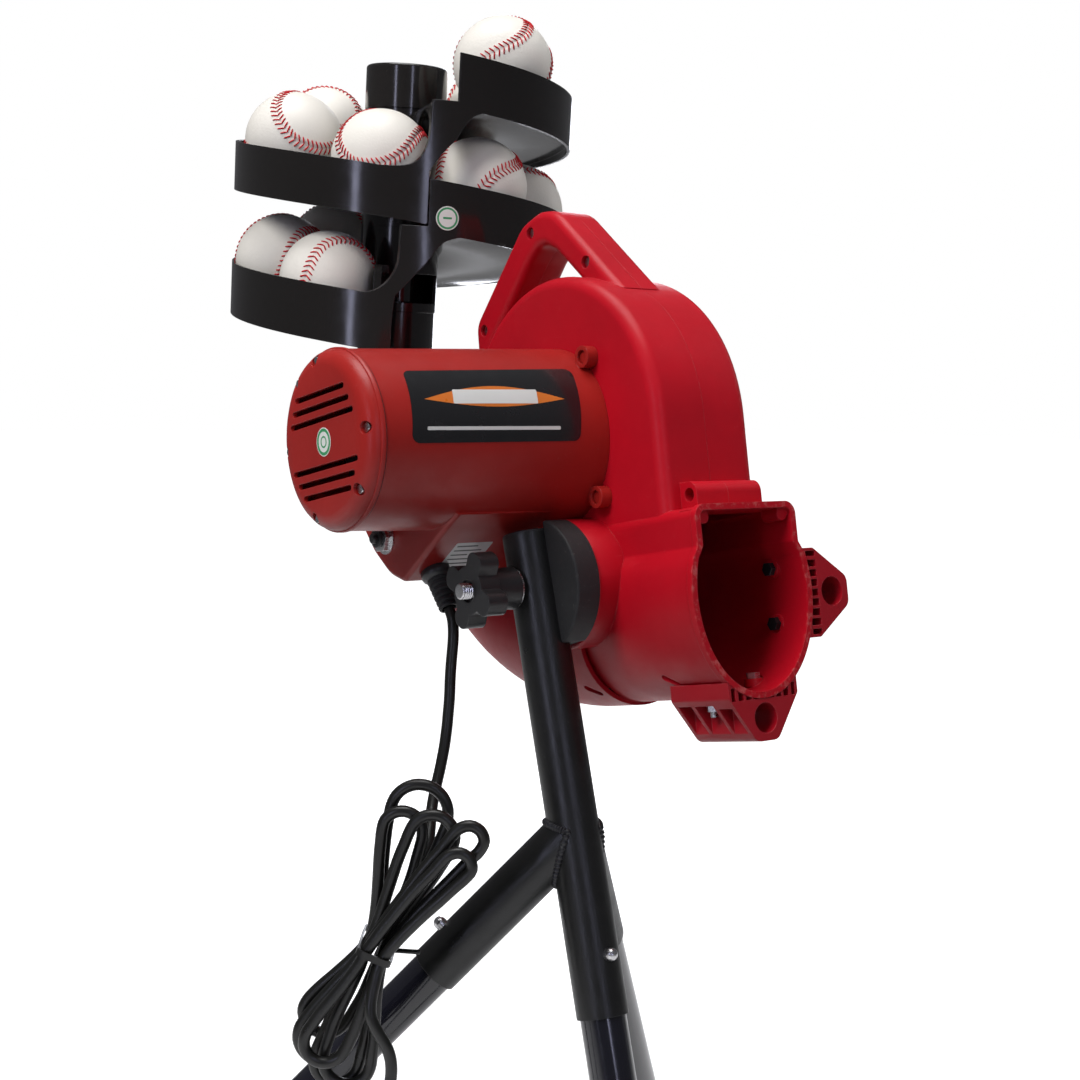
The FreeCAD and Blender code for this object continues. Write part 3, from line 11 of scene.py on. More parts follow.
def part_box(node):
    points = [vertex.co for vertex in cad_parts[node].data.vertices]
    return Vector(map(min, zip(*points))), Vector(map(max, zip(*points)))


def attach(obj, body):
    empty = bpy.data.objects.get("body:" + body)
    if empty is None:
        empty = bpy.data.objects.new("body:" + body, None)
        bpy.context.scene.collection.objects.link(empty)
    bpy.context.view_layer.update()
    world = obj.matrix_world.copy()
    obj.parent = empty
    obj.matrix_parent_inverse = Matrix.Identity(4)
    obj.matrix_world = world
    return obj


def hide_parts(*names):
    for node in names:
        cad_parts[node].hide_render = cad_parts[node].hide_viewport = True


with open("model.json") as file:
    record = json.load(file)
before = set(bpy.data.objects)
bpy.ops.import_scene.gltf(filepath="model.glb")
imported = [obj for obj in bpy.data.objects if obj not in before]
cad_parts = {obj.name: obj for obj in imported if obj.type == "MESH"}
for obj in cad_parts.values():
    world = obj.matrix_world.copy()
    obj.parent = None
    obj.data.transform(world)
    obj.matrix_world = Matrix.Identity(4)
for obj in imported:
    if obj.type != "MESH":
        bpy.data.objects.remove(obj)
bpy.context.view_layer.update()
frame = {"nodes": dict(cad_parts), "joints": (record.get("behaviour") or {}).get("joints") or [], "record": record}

NODES = frame["nodes"]
random.seed(5)
scene = bpy.context.scene

# ---------------------------------------------------------------- places taken from the CAD joints
MM = 0.001
JOINTS = {joint["name"]: joint for joint in frame["joints"]}
WHEEL = Vector(JOINTS["wheel_spin"]["pos_m"])
PIVOT = Vector(JOINTS["head_tilt"]["pos_m"])
TILT = math.radians(10.392)
# axes of the tilted head
HEAD_X = Vector((1, 0, 0))
HEAD_Y = Vector((0, math.cos(TILT), -math.sin(TILT)))
HEAD_Z = Vector((0, math.sin(TILT), math.cos(TILT)))


def head_point(x, y, z):
    """Scene point from millimetres in the head frame, whose origin is the wheel centre."""
    return WHEEL + (HEAD_X * x + HEAD_Y * y + HEAD_Z * z) * MM


# ---------------------------------------------------------------- shader nodes
class Graph:
    """Short calls that add and link the nodes of one tree."""

    def __init__(self, tree):
        self.tree = tree

    def node(self, kind, **settings):
        node = self.tree.nodes.new(kind)
        for key, value in settings.items():
            setattr(node, key, value)
        return node

    def feed(self, socket, value):
        """Links a socket, or sets a number or an RGB colour."""
        if isinstance(value, bpy.types.NodeSocket):
            self.tree.links.new(value, socket)
        elif isinstance(value, tuple):
            socket.default_value = (*value, 1.0)
        else:
            socket.default_value = value

    def mix(self, factor, first, second):
        node = self.node("ShaderNodeMix", data_type="RGBA")
        # 0 is the factor, 6 and 7 are the two colours
        for index, value in ((0, factor), (6, first), (7, second)):
            self.feed(node.inputs[index], value)
        return node.outputs[2]

    def math(self, operation, first, second, clamp=False):
        node = self.node("ShaderNodeMath", operation=operation, use_clamp=clamp)
        self.feed(node.inputs[0], first)
        self.feed(node.inputs[1], second)
        return node.outputs[0]

    def add(self, first, second):
        return self.math("ADD", first, second)

    def times(self, first, second, clamp=False):
        return self.math("MULTIPLY", first, second, clamp)

    def noise(self, coord, scale, detail=3.0, roughness=0.55, stretch=None):
        node = self.node("ShaderNodeTexNoise")
        node.inputs["Scale"].default_value = scale
        node.inputs["Detail"].default_value = detail
        node.inputs["Roughness"].default_value = roughness
        if stretch is not None:
            mapping = self.node("ShaderNodeMapping")
            mapping.inputs["Scale"].default_value = stretch
            self.feed(mapping.inputs["Vector"], coord)
            coord = mapping.outputs[0]
        self.feed(node.inputs["Vector"], coord)
        return node.outputs["Fac"]

    def ramp(self, value, start, end, low=0.0, high=1.0):
        """Maps start..end to low..high."""
        node = self.node("ShaderNodeMapRange")
        node.inputs["From Min"].default_value = start
        node.inputs["From Max"].default_value = end
        node.inputs["To Min"].default_value = low
        node.inputs["To Max"].default_value = high
        self.feed(node.inputs["Value"], value)
        return node.outputs[0]


def new_material(name):
    mat = bpy.data.materials.new(name)
    mat.use_nodes = True
    mat.node_tree.nodes.clear()
    graph = Graph(mat.node_tree)
    output = graph.node("ShaderNodeOutputMaterial")
    shader = graph.node("ShaderNodeBsdfPrincipled")
    graph.feed(output.inputs[0], shader.outputs[0])
    return mat, graph, shader


def surface(name, base, rough=0.4, metal=0.0, tone=0.12, rough_var=0.08, grain=900.0,
            grain_height=0.00006, wave_height=0.0, wear=0.0, wear_color=(0.8, 0.8, 0.8),
            bevel=0.0007, scratch=0.0, coat=0.0, spec=0.5, dust=0.0, brushed=None, sheen=0.0):
    """Mottled surface with fine grain, and optional waves, wear, scratches, dust and brushing.

    tone and rough_var spread the colour and the roughness, grain is a noise scale, heights and
    bevel are in metres, wear, scratch and dust are amounts, and brushed stretches the noise.
    """
    mat, graph, shader = new_material(name)
    coord = graph.node("ShaderNodeTexCoord").outputs["Object"]
    broad = graph.noise(coord, scale=9.0, detail=4.0)
    mid = graph.noise(coord, scale=70.0, detail=4.0)
    dark = tuple(c * (1 - tone) for c in base)
    light = tuple(min(1.0, c * (1 + tone) + 0.004 * tone) for c in base)
    color = graph.mix(graph.ramp(broad, start=0.3, end=0.7), dark, light)
    color = graph.mix(graph.ramp(mid, start=0.35, end=0.75, high=0.35), color,
                      tuple(c * 0.88 for c in base))
    roughness = graph.ramp(mid, start=0.25, end=0.75, low=max(0.03, rough - rough_var),
                           high=rough + rough_var)
    height = graph.times(graph.noise(coord, grain, detail=2.0), grain_height)
    if brushed:
        lines = graph.noise(coord, scale=260.0, detail=3.0, roughness=0.6, stretch=brushed)
        height = graph.add(height, graph.times(lines, 0.00005))
        roughness = graph.add(roughness, graph.ramp(lines, start=0.3, end=0.7,
                                                    low=-0.06, high=0.08))
    if wave_height:
        waves = graph.noise(coord, scale=22.0, detail=2.0)
        height = graph.add(height, graph.times(waves, wave_height))
    if scratch:
        for stretch in ((6.0, 1.0, 90.0), (80.0, 5.0, 1.5)):
            streaks = graph.noise(coord, scale=7.0, detail=6.0, roughness=0.7, stretch=stretch)
            streaks = graph.ramp(streaks, start=0.68, end=0.74)
            patches = graph.ramp(graph.noise(coord, scale=14.0, detail=2.0), start=0.5, end=0.66)
            amount = graph.times(graph.times(streaks, patches), scratch)
            color = graph.mix(amount, color, wear_color)
            roughness = graph.add(roughness, graph.times(amount, 0.25))
    if dust:
        specks = graph.noise(coord, scale=330.0, detail=5.0, roughness=0.7)
        specks = graph.ramp(specks, start=0.62, end=0.78, high=dust)
        color = graph.mix(specks, color, (0.55, 0.53, 0.50))
    if bevel:
        rounding = graph.node("ShaderNodeBevel", samples=4)
        rounding.inputs["Radius"].default_value = bevel
    if wear and bevel:
        # an edge shows where the rounded normal leaves the true one
        geometry = graph.node("ShaderNodeNewGeometry")
        agreement = graph.node("ShaderNodeVectorMath", operation="DOT_PRODUCT")
        graph.feed(agreement.inputs[0], rounding.outputs[0])
        graph.feed(agreement.inputs[1], geometry.outputs["Normal"])
        amount = graph.ramp(agreement.outputs["Value"], start=0.985, end=0.90)
        patches = graph.noise(coord, scale=55.0, detail=5.0, roughness=0.65)
        amount = graph.times(amount, graph.ramp(patches, start=0.45, end=0.62))
        amount = graph.times(amount, wear, clamp=True)
        color = graph.mix(amount, color, wear_color)
        roughness = graph.add(roughness, graph.times(amount, 0.15))
    bump = graph.node("ShaderNodeBump")
    bump.inputs["Strength"].default_value = 1.0
    bump.inputs["Distance"].default_value = 1.0
    graph.feed(bump.inputs["Height"], height)
    if bevel:
        graph.feed(bump.inputs["Normal"], rounding.outputs[0])
    for socket, value in (("Normal", bump.outputs[0]), ("Base Color", color),
                          ("Roughness", roughness), ("Metallic", metal),
                          ("Specular IOR Level", spec), ("Coat Weight", coat),
                          ("Coat Roughness", 0.12), ("Sheen Weight", sheen)):
        graph.feed(shader.inputs[socket], value)
    return mat


def rub_toward_plane(mat, centre, axis, start, end, color, amount, scale):
    """Adds patchy rubbing that grows from start to end, in metres along axis from centre."""
    graph = Graph(mat.node_tree)
    shader = [node for node in mat.node_tree.nodes if node.type == "BSDF_PRINCIPLED"][0]
    base_color = shader.inputs["Base Color"].links[0].from_socket
    coord = graph.node("ShaderNodeTexCoord").outputs["Object"]
    offset = graph.node("ShaderNodeVectorMath", operation="SUBTRACT")
    graph.feed(offset.inputs[0], coord)
    offset.inputs[1].default_value = centre
    distance = graph.node("ShaderNodeVectorMath", operation="DOT_PRODUCT")
    graph.feed(distance.inputs[0], offset.outputs[0])
    distance.inputs[1].default_value = axis
    rubbed = graph.ramp(distance.outputs["Value"], start, end)
    patches = graph.noise(coord, scale, detail=6.0, roughness=0.7)
    rubbed = graph.times(rubbed, graph.ramp(patches, start=0.50, end=0.64))
    rubbed = graph.times(rubbed, amount, clamp=True)
    graph.feed(shader.inputs["Base Color"], graph.mix(rubbed, base_color, color))


# ---------------------------------------------------------------- materials, by CAD material slot
MOULDED = dict(rough_var=0.07, grain=1500, grain_height=0.00004)
RUBBER = dict(rough=0.8, grain=600, grain_height=0.0002, spec=0.3)
MATS = {
    "red_shell": surface(
        "red_moulding", (0.42, 0.0035, 0.012), rough=0.42, tone=0.16, wave_height=0.0003,
        wear=0.25, wear_color=(0.60, 0.12, 0.12), bevel=0.0009, scratch=0.22, spec=0.28,
        dust=0.04, **MOULDED),
    "red_housing": surface(
        "red_housing_moulding", (0.32, 0.014, 0.011), rough=0.36, tone=0.14, wave_height=0.0002,
        wear=0.25, wear_color=(0.55, 0.12, 0.12), bevel=0.0009, scratch=0.15, spec=0.35,
        dust=0.05, **MOULDED),
    "bracket_red": surface(
        "bracket_moulding", (0.34, 0.004, 0.012), rough=0.42, tone=0.18, wear=0.4,
        wear_color=(0.7, 0.2, 0.2), scratch=0.1, dust=0.05, **MOULDED),
    "steel_dark": surface("black_steel", (0.035, 0.035, 0.04), metal=0.6, bevel=0.0004),
    "magnet": surface(
        "ferrite", (0.05, 0.05, 0.055), rough=0.6, grain_height=0.0001, bevel=0.0003),
    "bright_steel": surface(
        "zinc_steel", (0.56, 0.56, 0.57), rough=0.26, metal=1.0, tone=0.1, rough_var=0.09,
        bevel=0.0003, brushed=(1.0, 14.0, 14.0), dust=0.08),
    "copper": surface(
        "copper_winding", (0.60, 0.26, 0.12), rough=0.32, metal=1.0, brushed=(40.0, 2.0, 2.0),
        bevel=0.0002),
    "wheel_alloy": surface(
        "cast_alloy", (0.60, 0.61, 0.62), rough=0.38, metal=1.0, grain=700,
        grain_height=0.0001, bevel=0.0004),
    "wheel_rubber": surface(
        "tyre_rubber", (0.028, 0.028, 0.03), rough=0.85, grain=600, grain_height=0.00025,
        dust=0.3, bevel=0.0006, spec=0.3),
    "rail_rubber": surface(
        "rail_rubber", (0.03, 0.03, 0.032), dust=0.25, bevel=0.0005, **RUBBER),
    "screw_black": surface(
        "black_screw", (0.03, 0.03, 0.032), rough=0.35, metal=0.7, bevel=0.0003, wear=0.6,
        wear_color=(0.45, 0.45, 0.45)),
    "black_plastic": surface(
        "black_moulding", (0.012, 0.012, 0.013), rough=0.38, grain=1400, wear=0.25,
        wear_color=(0.12, 0.12, 0.12), bevel=0.0008, dust=0.05),
    "black_rubber": surface(
        "soft_rubber", (0.016, 0.016, 0.017), rough=0.62, grain=1000, grain_height=0.0001,
        bevel=0.0008, dust=0.12, spec=0.35),
    "cord_black": surface(
        "cord_jacket", (0.007, 0.007, 0.006), rough=0.33, grain=1800, grain_height=0.00002,
        bevel=0.0, dust=0.03),
    "board_green": surface("board_resist", (0.01, 0.14, 0.05), rough=0.35, bevel=0.0),
    "brass_pin": surface(
        "plug_brass", (0.62, 0.50, 0.24), rough=0.28, metal=1.0, bevel=0.0002,
        brushed=(10.0, 10.0, 1.0)),
    "tube_black": surface(
        "powder_coat", (0.006, 0.006, 0.006), rough=0.34, grain=1300, grain_height=0.00008,
        wave_height=0.0001, wear=0.25, wear_color=(0.22, 0.22, 0.23), bevel=0.0005,
        scratch=0.10, dust=0.03),
    "foot_rubber": surface(
        "foot_rubber", (0.018, 0.018, 0.018), bevel=0.0010, dust=0.4, **RUBBER),
    "track_gloss": surface(
        "gloss_black", (0.0125, 0.0112, 0.0105), rough=0.15, tone=0.1, rough_var=0.04,
        grain=300, grain_height=0.00001, wave_height=0.00025, wear=0.15,
        wear_color=(0.2, 0.2, 0.22), bevel=0.0008, scratch=0.03, coat=0.25, spec=0.4,
        dust=0.015),
    "gearmotor_grey": surface(
        "motor_paint", (0.22, 0.23, 0.25), rough=0.42, metal=0.2, bevel=0.0005),
}
MATS["ball_leather"] = MATS["black_plastic"]
# the front rim of the muzzle is rubbed pale
rub_toward_plane(MATS["red_shell"], centre=head_point(0, -134.35, -129.5), axis=tuple(-HEAD_Y),
                 start=-0.002, end=0.0004, color=(0.62, 0.24, 0.22), amount=0.42, scale=230.0)
# the legs are glossier than the rest of the stand
LEG_ENAMEL = surface(
    "leg_enamel", (0.007, 0.007, 0.012), rough=0.16, rough_var=0.05, grain=500,
    grain_height=0.00002, wave_height=0.0002, bevel=0.0005, coat=0.4, scratch=0.08,
    wear_color=(0.3, 0.3, 0.32), dust=0.02)


# ---------------------------------------------------------------- looks of the CAD pieces
SLOT_OF = {part["node"]: part["material_slot"] for part in frame["record"]["subparts"]}
# pieces whose look differs from that of their slot
OTHER_LOOK = {"cap_screws": "bright_steel", "housing_screws": "red_housing",
              "lug_screw": "red_shell", "handle_screws": "bright_steel"}
BRIGHT_BOLT_MAX_X = 0.110


def cad_material(name):
    if name.startswith("leg_"):
        return LEG_ENAMEL
    return MATS.get(OTHER_LOOK.get(name, SLOT_OF.get(name, "")))


def split_edges(ob, degrees):
    split = ob.modifiers.new("edges", "EDGE_SPLIT")
    split.split_angle = math.radians(degrees)
    return split


def shade_cad_piece(ob):
    """Smooth shading, split at the real edges."""
    for poly in ob.data.polygons:
        poly.use_smooth = True
    weld = ob.modifiers.new("weld", "WELD")
    weld.merge_threshold = 2e-6
    split_edges(ob, 32.0).use_edge_sharp = False


for name, ob in NODES.items():
    ob.data.materials.clear()
    ob.data.materials.append(cad_material(name))
    if name == "bracket_bolts":
        # the bolts on the low-X side are bright
        ob.data.materials.append(MATS["bright_steel"])
        for poly in ob.data.polygons:
            if poly.center.x < BRIGHT_BOLT_MAX_X:
                poly.material_index = 1
    shade_cad_piece(ob)


# ---------------------------------------------------------------- mesh helpers
def link_object(name, mesh):
    ob = bpy.data.objects.new(name, mesh)
    scene.collection.objects.link(ob)
    return ob


def add_mesh(name, verts, faces, mat, body, smooth=True, split=None):
    """Adds a mesh that rides on a body; split is an edge split angle in degrees."""
    mesh = bpy.data.meshes.new(name)
    mesh.from_pydata([tuple(v) for v in verts], [], faces)
    mesh.validate()
    bm = bmesh.new()
    bm.from_mesh(mesh)
    bmesh.ops.recalc_face_normals(bm, faces=bm.faces[:])
    bm.to_mesh(mesh)
    bm.free()
    for poly in mesh.polygons:
        poly.use_smooth = smooth
    ob = link_object(name, mesh)
    mesh.materials.append(mat)
    if split:
        split_edges(ob, split)
    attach(ob, body)
    return ob


def tube_mesh(points, radius, sides):
    """Verts and faces of a capped round tube; radius is a number, or a list with one per point."""
    count = len(points)
    path = [Vector(p) for p in points]
    radii = radius if isinstance(radius, list) else [radius] * count
    tangents = [(path[min(i + 1, count - 1)] - path[max(i - 1, 0)]).normalized()
                for i in range(count)]
    up = Vector((0, 0, 1)) if abs(tangents[0].z) < 0.9 else Vector((1, 0, 0))
    normal = (up - tangents[0] * up.dot(tangents[0])).normalized()
    verts, faces = [], []
    for centre, tangent, ring_radius in zip(path, tangents, radii):
        normal = (normal - tangent * normal.dot(tangent)).normalized()
        binormal = tangent.cross(normal)
        for k in range(sides):
            a = 2 * math.pi * k / sides
            verts.append(centre + (normal * math.cos(a) + binormal * math.sin(a)) * ring_radius)
    for i in range(count - 1):
        this, after = i * sides, (i + 1) * sides
        for k in range(sides):
            q = (k + 1) % sides
            faces.append((this + k, this + q, after + q, after + k))
    faces.append(tuple(range(sides))[::-1])
    faces.append(tuple((count - 1) * sides + k for k in range(sides)))
    return verts, faces


# ---------------------------------------------------------------- power cord
CORD_RADIUS = 0.0035
# centre line x, y, z in millimetres: down from the head, through the hank, to the hanging end
CORD_PATH = [
    (-39.5,-59.8,672.9), (-39.6,-63.6,667.4), (-40.2,-66.0,661.2), (-41.0,-67.3,654.7),
    (-41.9,-67.9,648.1), (-43.0,-68.6,641.5), (-44.2,-69.7,635.1), (-45.5,-71.2,628.7),
    (-46.7,-72.8,622.3), (-48.0,-74.2,615.8), (-49.4,-75.4,609.4), (-50.9,-76.8,603.0),
    (-52.8,-78.4,596.8), (-55.0,-80.3,590.8), (-57.6,-82.3,584.9), (-60.4,-84.5,579.3),
    (-63.4,-86.8,573.9), (-66.6,-89.3,568.6), (-69.8,-92.1,563.4), (-72.8,-95.1,558.4),
    (-75.7,-98.6,553.5), (-78.4,-102.1,548.7), (-81.2,-105.7,543.6), (-83.8,-108.8,538.5),
    (-86.5,-111.3,533.0), (-89.3,-112.8,527.2), (-92.1,-112.6,521.2), (-94.7,-111.1,515.4),
    (-97.1,-108.9,509.7), (-99.4,-106.7,503.9), (-101.5,-104.7,497.8), (-103.6,-103.1,491.6),
    (-106.0,-101.8,485.6), (-109.1,-100.8,479.7), (-112.6,-101.1,474.1), (-116.1,-101.8,468.4),
    (-119.1,-101.6,462.4), (-121.4,-100.5,456.2), (-123.6,-98.7,450.2), (-126.3,-96.7,444.4),
    (-129.1,-94.8,438.6), (-132.4,-92.4,433.2), (-136.8,-89.2,429.7), (-142.2,-85.4,429.2),
    (-147.2,-81.8,432.0), (-150.4,-79.5,437.2), (-151.2,-78.9,443.6), (-149.0,-80.5,449.6),
    (-145.4,-83.1,454.7), (-141.5,-85.9,459.3), (-137.4,-88.8,463.7), (-133.4,-91.7,468.2),
    (-129.4,-94.6,472.8), (-125.6,-97.3,477.5), (-122.0,-99.9,482.5), (-119.0,-102.0,488.1),
    (-117.2,-103.3,494.4), (-116.1,-104.1,501.0), (-115.2,-104.7,507.6), (-114.5,-105.3,514.2),
    (-113.9,-105.7,520.8), (-113.5,-106.0,527.5), (-113.1,-106.2,534.2), (-112.7,-106.6,540.9),
    (-112.1,-106.9,547.5), (-111.5,-107.4,554.1), (-110.6,-108.1,560.7), (-109.4,-108.9,567.1),
    (-107.0,-110.6,573.0), (-103.0,-113.5,577.2), (-98.0,-117.1,579.3), (-92.7,-120.9,578.8),
    (-88.0,-124.3,576.0), (-84.5,-126.8,571.2), (-82.7,-128.1,565.1), (-82.8,-128.0,558.4),
    (-84.3,-126.9,552.0), (-86.4,-125.4,545.7), (-88.5,-123.9,539.6), (-90.8,-122.3,533.5),
    (-93.3,-120.5,527.6), (-95.9,-118.6,521.8), (-98.6,-116.6,515.9), (-101.2,-114.7,510.1),
    (-103.8,-112.9,504.2), (-106.3,-111.2,498.2), (-108.5,-109.5,492.1), (-110.5,-108.0,485.9),
    (-113.1,-107.2,479.8), (-116.4,-107.6,474.0), (-119.6,-108.6,468.2), (-122.0,-108.7,462.0),
    (-123.8,-107.9,455.6), (-125.4,-106.8,449.1), (-127.1,-105.6,442.8), (-129.0,-104.2,436.6),
    (-131.2,-102.6,430.5), (-133.6,-100.9,424.4), (-136.9,-98.5,419.1), (-141.5,-95.2,415.9),
    (-146.7,-91.5,415.3), (-151.6,-88.0,417.6), (-155.3,-85.3,422.2), (-157.1,-84.0,428.3),
    (-156.5,-84.5,434.9), (-153.9,-86.3,440.5), (-150.6,-88.7,445.9), (-147.2,-91.1,451.1),
    (-143.6,-93.7,456.1), (-140.0,-96.3,461.1), (-136.3,-98.9,466.0), (-132.8,-101.5,471.1),
    (-129.4,-103.9,476.3), (-126.3,-106.1,481.8), (-123.5,-108.1,487.6), (-122.0,-109.2,494.0),
    (-121.1,-109.9,500.6), (-120.4,-110.4,507.2), (-119.9,-110.7,513.9), (-119.6,-110.9,520.5),
    (-119.3,-111.1,527.2), (-119.1,-111.3,533.9), (-118.8,-111.5,540.6), (-118.3,-111.8,547.2),
    (-117.8,-112.2,553.7), (-116.3,-113.3,560.1), (-112.1,-116.3,564.3), (-106.9,-120.1,565.2),
    (-102.1,-123.5,562.6), (-99.1,-125.6,557.0), (-98.7,-125.9,550.6), (-99.9,-125.1,544.0),
    (-101.3,-124.1,537.6), (-102.6,-123.1,531.1), (-104.2,-122.0,524.7), (-106.0,-120.7,518.4),
    (-107.8,-119.4,512.1), (-109.6,-118.1,505.8), (-111.5,-116.8,499.5), (-113.2,-115.6,493.1),
    (-114.8,-114.3,486.8), (-116.9,-113.7,480.5), (-119.7,-114.2,474.4), (-122.4,-115.5,468.3),
    (-124.5,-116.4,462.1), (-125.8,-116.1,455.6), (-126.6,-115.3,448.9), (-127.4,-114.6,442.3),
    (-128.4,-113.9,435.7), (-129.5,-113.2,429.2), (-130.6,-112.4,422.7), (-131.9,-111.5,416.4),
    (-134.0,-109.9,410.3), (-138.1,-107.0,406.2), (-143.3,-103.3,405.0), (-148.2,-99.7,407.1),
    (-151.8,-97.2,411.8), (-153.0,-96.3,418.1), (-152.0,-97.0,424.6), (-149.9,-98.5,430.9),
    (-147.8,-100.1,437.0), (-145.6,-101.6,443.1), (-143.2,-103.4,449.1), (-140.6,-105.2,455.0),
    (-138.1,-107.0,460.9), (-135.6,-108.8,466.9), (-133.2,-110.5,472.9), (-130.9,-112.2,478.9),
    (-128.8,-113.7,485.1), (-126.7,-115.2,491.3), (-124.7,-116.6,497.5), (-122.8,-118.0,503.8),
    (-121.2,-119.2,510.1), (-119.6,-120.3,516.5), (-118.0,-121.4,522.9), (-116.4,-122.6,529.3),
    (-114.8,-123.7,535.7), (-113.0,-125.0,542.0), (-111.0,-126.5,548.2), (-109.0,-127.9,554.5),
    (-106.4,-129.8,560.3), (-102.2,-132.8,564.2), (-97.0,-136.5,565.2), (-92.1,-140.0,563.0),
    (-88.6,-142.5,558.2), (-87.5,-143.3,551.8), (-89.0,-142.3,545.5), (-91.6,-140.4,539.8),
    (-94.4,-138.4,534.1), (-97.3,-136.3,528.5), (-100.4,-134.1,523.0), (-103.5,-131.9,517.5),
    (-106.6,-129.6,512.0), (-109.6,-127.4,506.5), (-112.6,-125.4,500.8), (-115.4,-123.4,495.1),
    (-118.0,-121.3,489.3), (-120.3,-119.9,483.2), (-122.5,-120.2,476.8), (-124.8,-121.7,470.7),
    (-126.7,-123.2,464.5), (-127.7,-123.7,458.0), (-128.0,-123.6,451.2), (-128.3,-123.4,444.5),
    (-128.5,-123.2,437.8), (-128.9,-123.0,431.2), (-129.5,-122.6,424.6), (-130.3,-122.0,418.1),
    (-132.6,-120.3,412.1), (-136.9,-117.2,408.5), (-142.2,-113.4,407.6), (-147.3,-109.7,409.8),
    (-150.9,-107.2,414.5), (-152.4,-106.1,420.7), (-151.8,-106.6,427.4), (-150.1,-107.7,433.8),
    (-148.4,-108.9,440.1), (-146.6,-110.3,446.4), (-144.5,-111.8,452.6), (-142.2,-113.4,458.7),
    (-139.9,-115.1,464.7), (-137.7,-116.7,470.8), (-135.5,-118.2,477.0), (-133.7,-119.5,483.3),
    (-131.7,-121.0,489.5), (-128.9,-123.0,495.2), (-125.8,-125.2,500.7), (-122.8,-127.3,506.3),
    (-119.8,-129.5,511.8), (-116.6,-131.8,517.3), (-113.5,-134.0,522.7), (-110.3,-136.3,528.2),
    (-107.1,-138.7,533.5), (-103.7,-141.1,538.7), (-100.1,-143.6,543.8), (-96.7,-146.1,549.0),
    (-93.4,-148.4,554.3), (-89.7,-151.1,559.2), (-84.6,-154.8,561.1), (-79.9,-158.1,558.3),
    (-77.9,-159.5,552.3), (-80.1,-158.0,546.4), (-84.0,-155.2,541.7), (-87.8,-152.5,536.9),
    (-91.4,-149.9,532.1), (-95.1,-147.2,527.2), (-98.9,-144.5,522.4), (-102.6,-141.8,517.6),
    (-106.3,-139.1,512.7), (-110.0,-136.5,507.7), (-113.5,-134.0,502.6), (-117.0,-131.6,497.5),
    (-120.2,-129.2,492.1), (-123.2,-126.9,486.6), (-126.1,-125.7,480.7), (-129.2,-126.0,474.8),
    (-132.6,-126.9,469.1), (-135.3,-127.0,463.0), (-137.4,-126.2,456.6), (-139.2,-125.0,450.3),
    (-141.2,-123.5,444.1), (-143.4,-121.9,438.0), (-145.7,-120.3,431.9), (-148.8,-118.0,426.5),
    (-153.5,-114.7,423.5), (-158.7,-110.9,423.9), (-163.1,-107.8,427.8), (-165.1,-106.3,433.8),
    (-164.1,-107.0,440.3), (-161.3,-109.0,445.8), (-158.2,-111.3,451.3), (-154.9,-113.7,456.6),
    (-151.5,-116.1,461.8), (-148.1,-118.5,467.0), (-144.8,-120.9,472.3), (-141.6,-123.2,477.7),
    (-138.7,-125.3,483.4), (-136.1,-127.1,489.3), (-133.1,-129.3,494.8), (-130.0,-131.6,500.3),
    (-126.7,-133.9,505.6), (-123.4,-136.3,510.9), (-120.0,-138.7,516.2), (-116.6,-141.1,521.4),
    (-113.1,-143.7,526.4), (-109.4,-146.4,531.3), (-105.6,-149.0,536.2), (-102.1,-151.5,541.3),
    (-98.2,-154.4,546.0), (-93.0,-158.1,547.2), (-88.8,-161.1,543.6), (-87.8,-161.8,537.4),
    (-91.0,-159.5,532.3), (-95.0,-156.7,527.9), (-98.9,-153.9,523.4), (-102.8,-151.1,518.8),
    (-106.8,-148.2,514.3), (-110.8,-145.3,509.7), (-114.6,-142.5,505.0), (-118.4,-139.8,500.2),
    (-122.1,-137.3,495.3), (-125.6,-134.7,490.1), (-128.6,-132.5,484.6), (-131.5,-132.2,478.7),
    (-134.0,-133.3,472.8), (-136.5,-134.6,466.7), (-138.3,-135.9,460.5), (-138.8,-137.4,454.2),
    (-137.1,-139.2,448.2), (-134.3,-140.9,442.5), (-131.5,-142.4,436.8), (-129.6,-143.3,430.6),
    (-129.0,-143.7,423.9), (-129.4,-143.6,417.3), (-130.4,-143.1,410.8), (-131.8,-142.6,404.2),
    (-133.2,-141.9,397.6), (-134.5,-141.4,391.1), (-135.5,-141.0,384.6), (-136.3,-140.7,377.9),
    (-136.9,-140.4,371.3), (-137.3,-140.2,364.7), (-137.6,-140.1,358.1), (-137.7,-139.9,351.5),
    (-137.8,-139.7,344.8), (-137.8,-139.5,338.2), (-137.8,-139.2,331.5), (-137.7,-138.9,324.9),
    (-137.6,-138.6,318.2), (-137.4,-138.3,311.5), (-137.2,-138.0,304.8), (-136.9,-137.8,298.1),
    (-136.6,-137.6,291.4), (-136.2,-137.5,284.7), (-135.8,-137.5,278.1), (-135.3,-137.6,271.4),
    (-134.8,-137.7,265.0),
]


def catmull_rom(points_mm, steps):
    """Smooth curve in metres through points in millimetres."""
    points = [Vector(p) * MM for p in points_mm]
    curve = []
    for i in range(len(points) - 1):
        p0 = points[max(i - 1, 0)]
        p1 = points[i]
        p2 = points[i + 1]
        p3 = points[min(i + 2, len(points) - 1)]
        for k in range(steps):
            t = k / steps
            curve.append(0.5 * ((2 * p1) + (p2 - p0) * t + (2 * p0 - 5 * p1 + 4 * p2 - p3) * t * t
                                + (3 * p1 - p0 - 3 * p2 + p3) * t ** 3))
    curve.append(points[-1])
    return curve


cord_verts, cord_faces = tube_mesh(catmull_rom(CORD_PATH, steps=3), CORD_RADIUS, sides=16)
cord = add_mesh("cord_jacket", cord_verts, cord_faces, MATS["cord_black"], "cord",
                split=50)
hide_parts("power_cord")

